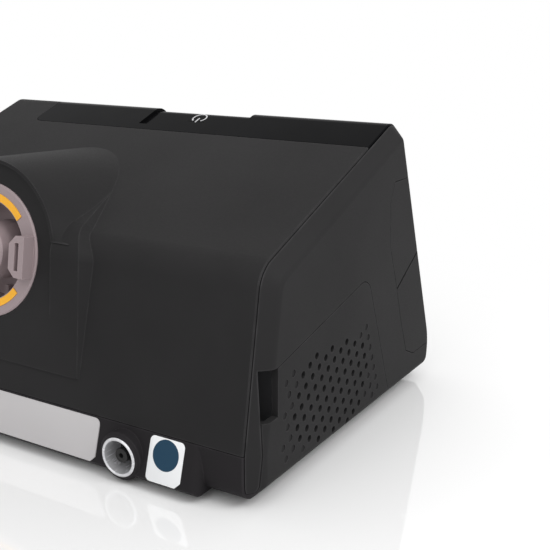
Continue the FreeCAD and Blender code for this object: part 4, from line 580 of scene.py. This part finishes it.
def rounded_corners(corners, radius, steps=6):
    """An outline whose corners are arcs. A corner may carry a radius of its own as a third number."""
    outline = []
    for index, corner in enumerate(corners):
        here = Vector(corner[:2])
        before = (Vector(corners[index - 1][:2]) - here).normalized()
        after = (Vector(corners[(index + 1) % len(corners)][:2]) - here).normalized()
        own = corner[2] if len(corner) > 2 else radius
        if own <= 0.0:
            outline.append(here)
            continue
        half = before.angle(after) / 2
        reach = own / math.tan(half)
        middle = here + (before + after).normalized() * own / math.sin(half)
        first = here + before * reach - middle
        last = here + after * reach - middle
        turn = math.atan2(first.cross(last), first.dot(last))
        for step in range(steps + 1):
            outline.append(middle + Matrix.Rotation(turn * step / steps, 2) @ first)
    return outline


def ring_part(radius, width, start, end, steps=40):
    """The outline of a flat ring's part, from one angle to another."""
    turns = [start + (end - start) * step / steps for step in range(steps + 1)]
    outer = [on_circle(turn, radius + width / 2) for turn in turns]
    return outer + [on_circle(turn, radius - width / 2) for turn in reversed(turns)]


def seat_on(node, start, direction, right):
    """Where a straight line first meets a node, with axes along and across its face there."""
    mesh = bmesh.new()
    mesh.from_mesh(NODES[node].data)
    place, normal, _, _ = BVHTree.FromBMesh(mesh).ray_cast(Vector(start), Vector(direction))
    mesh.free()
    if place is None:
        raise RuntimeError(f"nothing of {node} lies ahead of {tuple(start)}")
    across = (Vector(right) - normal * normal.dot(Vector(right))).normalized()
    turn = Matrix((across, normal.cross(across), normal)).transposed().to_4x4()
    return Matrix.Translation(place) @ turn


def slab(mesh, outline, seat, thickness, edge=0.0):
    """Adds a thin slab with that outline on a seat, with a rounded rim on its outer face."""
    foot = mesh.faces.new([mesh.verts.new(seat @ Vector((point.x, point.y, 0.0))) for point in outline])
    made = bmesh.ops.extrude_face_region(mesh, geom=[foot])["geom"]
    lift = seat.to_3x3() @ Vector((0.0, 0.0, thickness))
    raised = [item for item in made if isinstance(item, bmesh.types.BMVert)]
    bmesh.ops.translate(mesh, verts=raised, vec=lift)
    bmesh.ops.recalc_face_normals(mesh, faces=mesh.faces)
    if edge:
        heads = [item for item in made if isinstance(item, bmesh.types.BMFace)]
        rim = [bond for face in heads for bond in face.edges]
        bmesh.ops.bevel(mesh, geom=rim, offset=edge, segments=2, profile=0.5, affect="EDGES")


# ------ repeated pieces

def start_repeat(name, inputs):
    """A Geometry Nodes tree with named inputs of those kinds, what they give, and its end node."""
    tree = bpy.data.node_groups.new(name, "GeometryNodeTree")
    for label, kind in inputs.items():
        tree.interface.new_socket(name=label, in_out="INPUT", socket_type="NodeSocket" + kind)
    tree.interface.new_socket(name="Geometry", in_out="OUTPUT", socket_type="NodeSocketGeometry")
    return tree, tree.nodes.new("NodeGroupInput").outputs, tree.nodes.new("NodeGroupOutput")


def moved(tree, geometry, **how):
    """Geometry with a Translation or a Rotation."""
    return put(tree, "GeometryNodeTransform", {"Geometry": geometry, **how}).outputs[0]


def close_repeat(tree, ends, points, instance, finish, **how):
    """Lays an instance on every point, moves them all, makes them real and gives them their finish."""
    laid = put(tree, "GeometryNodeInstanceOnPoints", {"Points": points, "Instance": instance}).outputs[0]
    whole = put(tree, "GeometryNodeRealizeInstances", {"Geometry": moved(tree, laid, **how)}).outputs[0]
    finished = put(tree, "GeometryNodeSetMaterial", {"Geometry": whole, "Material": finish}).outputs[0]
    feed(tree, ends, {"Geometry": finished})


def repeated_piece(name, tree, values, body):
    """Runs a tree once and keeps what it makes as a plain mesh that rides on a body."""
    maker = new_object(name + "_maker", bpy.data.meshes.new(name + "_maker"))
    modifier = maker.modifiers.new(name, "NODES")
    modifier.node_group = tree
    for item in tree.interface.items_tree:
        if item.in_out == "INPUT":
            modifier[item.identifier] = values[item.name]
    made = bpy.data.meshes.new_from_object(maker.evaluated_get(bpy.context.evaluated_depsgraph_get()))
    bpy.data.objects.remove(maker)
    keep_piece(new_object(name, made), body)


def vector_of(tree, x, y, z):
    """A vector from three values or sockets."""
    return put(tree, "ShaderNodeCombineXYZ", {0: x, 1: y, 2: z}).outputs[0]


def screw_field(finish):
    """Pan head screws with a cross recess, in rows on a flat underside, heads down."""
    tree, given, ends = start_repeat("Screw Field", {
        "Place": "Vector", "Across": "Float", "Along": "Float",
        "Head Radius": "Float", "Head Height": "Float", "Recess Width": "Float",
    })
    radius, height, slit = given["Head Radius"], given["Head Height"], given["Recess Width"]
    head = put(tree, "GeometryNodeMeshCone", {
        "Vertices": 32, "Radius Top": times(tree, radius, 0.78), "Radius Bottom": radius, "Depth": height,
    }).outputs["Mesh"]
    deep, wide = times(tree, height, 1.3), times(tree, radius, 1.1)
    cut = put(
        tree, "GeometryNodeMeshBoolean", {"Mesh 1": head, "Self Intersection": True},
        operation="DIFFERENCE", solver="EXACT",
    )
    for size in (vector_of(tree, wide, slit, deep), vector_of(tree, slit, wide, deep)):
        bar = put(tree, "GeometryNodeMeshCube", {"Size": size}).outputs["Mesh"]
        feed(tree, cut, {"Mesh 2": moved(tree, bar, Translation=vector_of(tree, 0.0, 0.0, height))})
    spots = put(tree, "GeometryNodeMeshGrid", {
        "Size X": given["Across"], "Size Y": given["Along"], "Vertices X": 3, "Vertices Y": 2,
    }).outputs["Mesh"]
    heads_down = {"Translation": given["Place"], "Rotation": (math.pi, 0.0, 0.0)}
    close_repeat(tree, ends, spots, cut.outputs["Mesh"], finish, **heads_down)
    return tree


def pin_row(finish):
    """A row of square pins that taper a little, as a plug-in header has them."""
    tree, given, ends = start_repeat("Pin Row", {
        "Place": "Vector", "Pitch": "Float", "Count": "Int", "Pin Width": "Float", "Pin Height": "Float",
    })
    pin = put(tree, "GeometryNodeMeshCone", {
        "Vertices": 4, "Radius Top": times(tree, given["Pin Width"], 0.6),
        "Radius Bottom": times(tree, given["Pin Width"], math.sqrt(0.5)), "Depth": given["Pin Height"],
    }).outputs["Mesh"]
    square = moved(tree, pin, Rotation=(0.0, 0.0, math.pi / 4))
    row = put(tree, "GeometryNodeMeshLine", {
        "Count": given["Count"], "Start Location": given["Place"],
        "Offset": vector_of(tree, given["Pitch"], 0.0, 0.0),
    }).outputs["Mesh"]
    close_repeat(tree, ends, row, square, finish)
    return tree


# ------ the pieces

class MACHINE_OT_housing(bpy.types.Operator):
    """Finishes the shell, its covers, the bezel, the base and the feet"""

    bl_idname = "machine.housing"
    bl_label = "Housing"

    def execute(self, context):
        look = context.scene.housing_look
        texture = {
            "grain": look.grain_size, "depth": look.grain_depth, "rub_and_highlight": look.edge_rub_and_highlight, "specular": 0.04,
        }
        matt = look.shell_roughness
        shell = moulded("graphite shell", look.shell_colour, matt, dust=look.dust, **texture)
        base = moulded("graphite base", look.base_colour, matt + 0.06, **texture)
        gloss = polished("polished bezel", look.gloss_colour, look.gloss_roughness, specular=0.015)
        rubber = moulded(
            "matt rubber", look.rubber_colour, roughness=0.8, grain=0.0004, depth=0.00002, specular=0.25
        )
        paint_nodes(shell, "rear_shell", "side_panel", "air_filter_cover", "sd_card_cover")
        paint_nodes(shell, "adapter_cover", "home_button")
        paint_nodes(base, "base_chassis", "tub_bay")
        paint_nodes(gloss, "front_bezel", "dial_knob", "start_stop_button")
        paint_nodes(rubber, "rubber_feet")
        return {"FINISHED"}


class MACHINE_OT_outlet(bpy.types.Operator):
    """Finishes the air outlet's connector, marks and socket"""

    bl_idname = "machine.outlet"
    bl_label = "Air outlet"

    def execute(self, context):
        look = context.scene.outlet_look
        # the connector's edges get a faint painted highlight, together with wear
        ring = moulded(
            "connector grey", look.ring_colour, look.ring_roughness, grain=0.0008, depth=0.00001,
            rub_and_highlight=0.15, specular=0.45, drift=0.05,
        )
        marks = moulded(
            "signal orange", look.mark_colour, roughness=0.38, grain=0.0006, depth=0.000012, drift=0.05
        )
        socket = moulded(
            "socket plastic", look.socket_colour, roughness=0.45, grain=0.0006, depth=0.00002, specular=0.35
        )
        paint_nodes(ring, "outlet_connector")
        paint_nodes(marks, "outlet_marks")
        paint_nodes(socket, "outlet_socket", "outlet_duct")
        return {"FINISHED"}


class MACHINE_OT_power_inlet(bpy.types.Operator):
    """Finishes the power inlet"""

    bl_idname = "machine.power_inlet"
    bl_label = "Power inlet"

    def execute(self, context):
        look = context.scene.outlet_look
        nickel = metal(
            "satin nickel", look.nickel_colour, look.nickel_roughness, stretch=(900.0, 160.0, 900.0),
            metallic=0.35,
        )
        core = moulded(
            "inlet core", (0.012, 0.012, 0.012), roughness=0.5, grain=0.0005, depth=0.00001, specular=0.3
        )
        paint_nodes(nickel, "power_inlet_barrel", "power_inlet_pin")
        paint_nodes(core, "power_inlet_insulator")
        return {"FINISHED"}


class MACHINE_OT_plates(bpy.types.Operator):
    """Lays the bare silver plate and the plain sticker on the rear of the base"""

    bl_idname = "machine.plates"
    bl_label = "Plate and sticker"

    def execute(self, context):
        look = context.scene.plate_look
        film = moulded(
            "silver film", look.plate_colour, roughness=0.42, grain=0.0009, depth=0.000003, drift=0.025
        )
        white = moulded(
            "sticker film", look.sticker_colour, roughness=0.4, grain=0.003, depth=0.000004, drift=0.02
        )
        blue = moulded(
            "disc ink", look.disc_colour, roughness=0.38, grain=0.003, depth=0.000003,
            specular=0.2, drift=0.04,
        )
        self.lay(look, "plate", "blank_plate", film, "steel")
        seat, rise = self.lay(look, "sticker", "blank_sticker", white, "filter_white")
        centre = (look.sticker_bottom + look.sticker_top) / 2
        up = (look.disc_height - centre) / rise
        lifted = seat @ Matrix.Translation((0.0, up, look.sticker_thickness))
        disc = [on_circle(math.tau * step / DISC_SIDES, look.disc_radius) for step in range(DISC_SIDES)]
        mesh = bmesh.new()
        slab(mesh, disc, lifted, look.sticker_thickness / 2)
        keep_piece(mesh_object("sticker_disc", mesh, blue), "root")
        return {"FINISHED"}

    @staticmethod
    def lay(look, kind, name, finish, slot):
        """Lays a rounded film on the rear of the base, and gives its seat and how steeply it rises."""
        left, right, bottom, top, corner, thickness = (
            getattr(look, f"{kind}_{part}")
            for part in ("left", "right", "bottom", "top", "corner", "thickness")
        )
        behind = ((left + right) / 2, CAD_BOX[1].y + STAND_OFF, (bottom + top) / 2)
        seat = seat_on("base_chassis", behind, (0.0, -1.0, 0.0), (-1.0, 0.0, 0.0))
        rise = (seat.to_3x3() @ Vector((0.0, 1.0, 0.0))).z
        across = (right - left) / 2
        up = (top - bottom) / 2 / rise
        cut = look.cut_corner
        blunt = cut / 5
        corners = [(-across, -up), (across - cut, -up, blunt), (across, -up + cut, blunt),
                   (across, up), (-across, up)]
        mesh = bmesh.new()
        slab(mesh, rounded_corners(corners, corner), seat, thickness, edge=thickness * 0.35)
        keep_piece(mesh_object(name, mesh, finish), "root")
        return seat, rise


class MACHINE_OT_controls(bpy.types.Operator):
    """Finishes the dial, screen and status light, and prints the power symbol"""

    bl_idname = "machine.controls"
    bl_label = "Controls"

    def execute(self, context):
        look = context.scene.control_look
        glass = polished("screen window", look.glass_colour, roughness=0.04, coat=0.6, smudge=0.03)
        trim = metal("dial trim", look.dial_colour, roughness=0.28, stretch=(700.0, 700.0, 90.0))
        lens = polished("status lens", look.lens_colour, roughness=0.18)
        ink = moulded(
            "symbol ink", look.symbol_colour, roughness=0.5, grain=0.001, depth=0.000003,
            specular=0.3, drift=0.03,
        )
        paint_nodes(glass, "screen_window")
        paint_nodes(trim, "dial_ring", "dial_shaft", "dial_encoder")
        paint_nodes(lens, "status_lens")
        self.print_power_symbol(look, ink)
        return {"FINISHED"}

    @staticmethod
    def print_power_symbol(look, ink):
        """An open ring with a bar, on the face of the start button."""
        low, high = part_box("start_stop_button")
        above = ((low.x + high.x) / 2, (low.y + high.y) / 2, high.z + STAND_OFF)
        seat = seat_on("start_stop_button", above, (0.0, 0.0, -1.0), (1.0, 0.0, 0.0))
        top, gap = math.pi / 2, look.symbol_gap
        ring = ring_part(look.symbol_radius, look.symbol_width, top + gap, top + math.tau - gap)
        half = look.symbol_width / 2
        foot, head = look.symbol_radius * 0.05, look.symbol_radius * 1.25
        corners = [(-half, foot), (half, foot), (half, head), (-half, head)]
        bar = rounded_corners(corners, radius=half * 0.9, steps=4)
        mesh = bmesh.new()
        for outline in (ring, bar):
            slab(mesh, outline, seat, look.symbol_thickness)
        keep_piece(mesh_object("power_symbol", mesh, ink), "start_button")


class MACHINE_OT_humidifier(bpy.types.Operator):
    """Finishes the tub, the heater and the silicone parts, and moulds the fill line"""

    bl_idname = "machine.humidifier"
    bl_label = "Humidifier"

    def execute(self, context):
        look = context.scene.tub_look
        clear = clear_plastic("smoked tub", look.tub_colour, look.tub_roughness)
        silicone = moulded(
            "silicone", look.seal_colour, roughness=0.55, grain=0.0006, depth=0.00001, drift=0.05
        )
        heater = metal("heater plate", look.heater_colour, roughness=0.34, stretch=(90.0, 1400.0, 1400.0))
        paint_nodes(clear, "tub_base", "tub_lid")
        paint_nodes(silicone, "tub_seal", "tub_inlet_seal", "tub_outlet_seal", "blower_grommets")
        paint_nodes(heater, "tub_heat_plate", "heater_plate")
        self.mould_fill_line(look, clear)
        return {"FINISHED"}

    @staticmethod
    def mould_fill_line(look, clear):
        """A raised line with two end ticks on the tub's outer end, at the height of a full tub."""
        low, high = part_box("tub_base")
        outside = (high.x + STAND_OFF, (low.y + high.y) / 2, low.z + look.level_height)
        seat = seat_on("tub_base", outside, (-1.0, 0.0, 0.0), (0.0, 1.0, 0.0))
        end, line = look.level_length / 2, look.level_width / 2
        tick, inner = line * 5, end - line * 2
        corners = [(-end, line), (-end, -tick), (-inner, -tick), (-inner, -line),
                   (inner, -line), (inner, -tick), (end, -tick), (end, line)]
        mesh = bmesh.new()
        slab(mesh, [Vector(corner) for corner in corners], seat, look.level_proud)
        keep_piece(mesh_object("fill_line", mesh, clear), "water_tub")


class MACHINE_OT_inside(bpy.types.Operator):
    """Finishes the air path, boards and card"""

    bl_idname = "machine.inside"
    bl_label = "Inside"

    def execute(self, context):
        look = context.scene.inside_look
        inner = moulded("inner plastic", look.inner_colour, roughness=0.5, grain=0.0008, depth=0.00002)
        lining = moulded(
            "silencer lining", (0.06, 0.06, 0.063), roughness=0.9, grain=0.0012, depth=0.0002, specular=0.2
        )
        fan = moulded(
            "impeller plastic", look.fan_colour, roughness=0.4, grain=0.001, depth=0.00001, drift=0.04
        )
        chips = moulded(
            "moulded chips", look.chip_colour, roughness=0.55, grain=0.0003, depth=0.00001, specular=0.35
        )
        card = moulded("card case", look.card_colour, roughness=0.42, grain=0.0005, depth=0.00001)
        boards = board_finish("board", look.board_colour, look.copper_colour)
        steel = metal("plated steel", look.steel_colour, roughness=0.3, stretch=(120.0, 1500.0, 1500.0))
        paint_nodes(inner, "filter_frame", "blower_lower", "blower_upper", "air_duct", "inner_deck")
        paint_nodes(inner, "heater_mount")
        paint_nodes(lining, "inlet_silencer")
        paint_nodes(fan, "impeller")
        paint_nodes(chips, "main_components", "adapter_connector", "home_switch", "screen_module")
        paint_nodes(card, "sd_card")
        paint_nodes(boards, "main_board", "display_board", "comms_board")
        paint_nodes(steel, "sd_socket", "blower_motor")
        return {"FINISHED"}


class MACHINE_OT_fasteners(bpy.types.Operator):
    """Sets the screws under the base and the pins of the header on the main board"""

    bl_idname = "machine.fasteners"
    bl_label = "Screws and pins"

    def execute(self, context):
        look = context.scene.inside_look
        zinc = metal("zinc screws", look.steel_colour, roughness=0.34, stretch=(400.0, 400.0, 400.0))
        low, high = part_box("base_chassis")
        middle = (low + high) / 2
        below = seat_on("base_chassis", (middle.x, middle.y, -STAND_OFF), (0.0, 0.0, 1.0), (1.0, 0.0, 0.0))
        repeated_piece("base_screws", screw_field(zinc), {
            "Place": (middle.x, middle.y, below.translation.z + look.screw_sink),
            "Across": look.screw_across, "Along": look.screw_along, "Head Radius": look.screw_radius,
            "Head Height": look.screw_height, "Recess Width": look.recess_width,
        }, "root")
        low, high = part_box("main_board")
        repeated_piece("header_pins", pin_row(zinc), {
            "Place": (low.x + look.pin_inset, high.y - look.pin_inset, high.z),
            "Pitch": look.pin_pitch, "Count": look.pin_count,
            "Pin Width": look.pin_width, "Pin Height": look.pin_height,
        }, "root")
        return {"FINISHED"}


class MACHINE_OT_filter_pad(bpy.types.Operator):
    """Makes the soft filter pad behind the perforated cover"""

    bl_idname = "machine.filter_pad"
    bl_label = "Filter pad"

    def execute(self, context):
        look = context.scene.inside_look
        low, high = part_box("air_filter")
        trim = look.fibre_height * 1.5
        low = low + Vector((trim, trim, trim))
        high = high - Vector((trim, trim, trim))
        mesh = bmesh.new()
        bmesh.ops.create_cube(mesh, size=1.0)
        for vertex in mesh.verts:
            vertex.co = Vector([low[k] + (high[k] - low[k]) * (vertex.co[k] + 0.5) for k in range(3)])
        bmesh.ops.bevel(
            mesh, geom=list(mesh.edges), offset=look.pad_round, segments=3, profile=0.5, affect="EDGES"
        )
        fine, coarse = look.pad_round * 0.8, look.pad_round * 3
        long_edges = [edge for edge in mesh.edges if edge.calc_length() > coarse]
        bmesh.ops.subdivide_edges(mesh, edges=long_edges, cuts=36, use_grid_fill=True)
        mesh.normal_update()
        evened = 0.6  # keeps the sum of both waves near the fibre height
        for vertex in mesh.verts:
            rise = noise.noise(vertex.co / fine) + noise.noise(vertex.co / coarse)
            vertex.co += vertex.normal * rise * look.fibre_height * evened
        white = felt("filter fibre", look.pad_colour, look.fibre_height)
        pad = keep_piece(mesh_object("filter_pad", mesh, white), "root")
        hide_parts("air_filter")
        return {"FINISHED"}


class MACHINE_OT_stage(bpy.types.Operator):
    """Sets up the floor, the soft light and the camera"""

    bl_idname = "machine.stage"
    bl_label = "Studio"

    def execute(self, context):
        look = context.scene.stage_look
        context.scene.view_settings.view_transform = "Standard"
        self.floor(look)
        self.world(context, look)
        self.panel("overhead", look.key_place, look.key_size, look.key_power)
        self.panel("side", look.side_place, look.side_size, look.side_power)
        self.camera(context, look)
        return {"FINISHED"}

    @staticmethod
    def in_view(tree):
        """One for what the camera sees directly, mirrored or through clear plastic."""
        path = put(tree, "ShaderNodeLightPath").outputs
        seen = arithmetic(tree, "MAXIMUM", path["Is Camera Ray"], path["Is Glossy Ray"])
        return arithmetic(tree, "MAXIMUM", seen, path["Is Transmission Ray"])

    @classmethod
    def floor(cls, look):
        """A pale floor that keeps the shadow and fades into the backdrop away from the machine."""
        finish, tree, shader = start_finish("studio floor")
        feed(tree, shader, {
            "Base Color": opaque(look.floor_colour), "Roughness": look.floor_roughness,
            "Specular IOR Level": 0.7,
        })
        middle = (CAD_BOX[0] + CAD_BOX[1]) / 2
        coordinates = put(tree, "ShaderNodeTexCoord").outputs["Object"]
        ends = {0: coordinates, 1: (middle.x, middle.y, 0.0)}
        away = put(tree, "ShaderNodeVectorMath", ends, operation="DISTANCE").outputs["Value"]
        start = look.floor_clear * look.fade_start
        fade = spread(tree, away, start, look.floor_clear, interpolation_type="SMOOTHSTEP")
        glow = put(tree, "ShaderNodeEmission", {"Color": WHITE, "Strength": 1.0}).outputs[0]
        mixed = put(tree, "ShaderNodeMixShader", {
            0: times(tree, fade, cls.in_view(tree)), 1: shader.outputs[0], 2: glow,
        }).outputs[0]
        feed(tree, tree.nodes["Material Output"], {"Surface": mixed})
        mesh = bmesh.new()
        bmesh.ops.create_grid(mesh, x_segments=8, y_segments=8, size=look.floor_reach)
        mesh_object("studio_floor", mesh, finish)

    @classmethod
    def world(cls, context, look):
        """Soft light from all round, which is plain white where it is seen or mirrored."""
        world = bpy.data.worlds.new("studio")
        world.use_nodes = True
        tree = world.node_tree
        strength = spread(tree, cls.in_view(tree), new_low=look.world_light)
        feed(tree, tree.nodes["Background"], {"Color": WHITE, "Strength": strength})
        context.scene.world = world

    @staticmethod
    def panel(name, place, size, power):
        """A square light panel that faces the machine."""
        light = bpy.data.lights.new(name, "AREA")
        light.shape = "SQUARE"
        light.size = size
        light.energy = power
        lamp = new_object(name, light)
        lamp.location = place
        lamp.rotation_euler = (Vector(LIT_POINT) - Vector(place)).to_track_quat("-Z", "Y").to_euler()

    @staticmethod
    def camera(context, look):
        """The camera, to the rear and left of the machine."""
        data = bpy.data.cameras.new("camera")
        data.angle = look.camera_angle
        data.clip_start = NEAREST
        camera = new_object("camera", data)
        ahead = Vector((
            math.sin(look.camera_turn) * math.cos(look.camera_dip),
            -math.cos(look.camera_turn) * math.cos(look.camera_dip),
            -math.sin(look.camera_dip),
        ))
        camera.location = look.camera_place
        camera.rotation_euler = ahead.to_track_quat("-Z", "Y").to_euler()
        context.scene.camera = camera


# ------ panel and registration

OPERATORS = (
    MACHINE_OT_housing,
    MACHINE_OT_outlet,
    MACHINE_OT_power_inlet,
    MACHINE_OT_plates,
    MACHINE_OT_controls,
    MACHINE_OT_humidifier,
    MACHINE_OT_inside,
    MACHINE_OT_fasteners,
    MACHINE_OT_filter_pad,
    MACHINE_OT_stage,
)
LOOKS = {
    "housing_look": HousingLook,
    "outlet_look": OutletLook,
    "plate_look": PlateLook,
    "control_look": ControlLook,
    "tub_look": TubLook,
    "inside_look": InsideLook,
    "stage_look": StageLook,
}


class MACHINE_PT_finishes(bpy.types.Panel):
    """Lists the machine's finishes and the steps that make them"""

    bl_idname = "MACHINE_PT_finishes"
    bl_label = "Air Machine"
    bl_space_type = "VIEW_3D"
    bl_region_type = "UI"
    bl_category = "Air Machine"

    def draw(self, context):
        for step in OPERATORS:
            self.layout.operator(step.bl_idname, text=step.bl_label)
        for held, kind in LOOKS.items():
            box = self.layout.box()
            box.label(text=kind.__doc__)
            for value in kind.__annotations__:
                box.prop(getattr(context.scene, held), value)


def register():
    for kind in (*LOOKS.values(), *OPERATORS, MACHINE_PT_finishes):
        bpy.utils.register_class(kind)
    for held, kind in LOOKS.items():
        setattr(bpy.types.Scene, held, PointerProperty(type=kind))


def unregister():
    for held in LOOKS:
        delattr(bpy.types.Scene, held)
    for kind in (MACHINE_PT_finishes, *reversed(OPERATORS), *reversed(LOOKS.values())):
        bpy.utils.unregister_class(kind)


def main():
    """Registers the add-on and makes every piece in order."""
    register()
    for step in OPERATORS:
        group, _, call = step.bl_idname.partition(".")
        getattr(getattr(bpy.ops, group), call)()


if __name__ == "__main__":
    main()
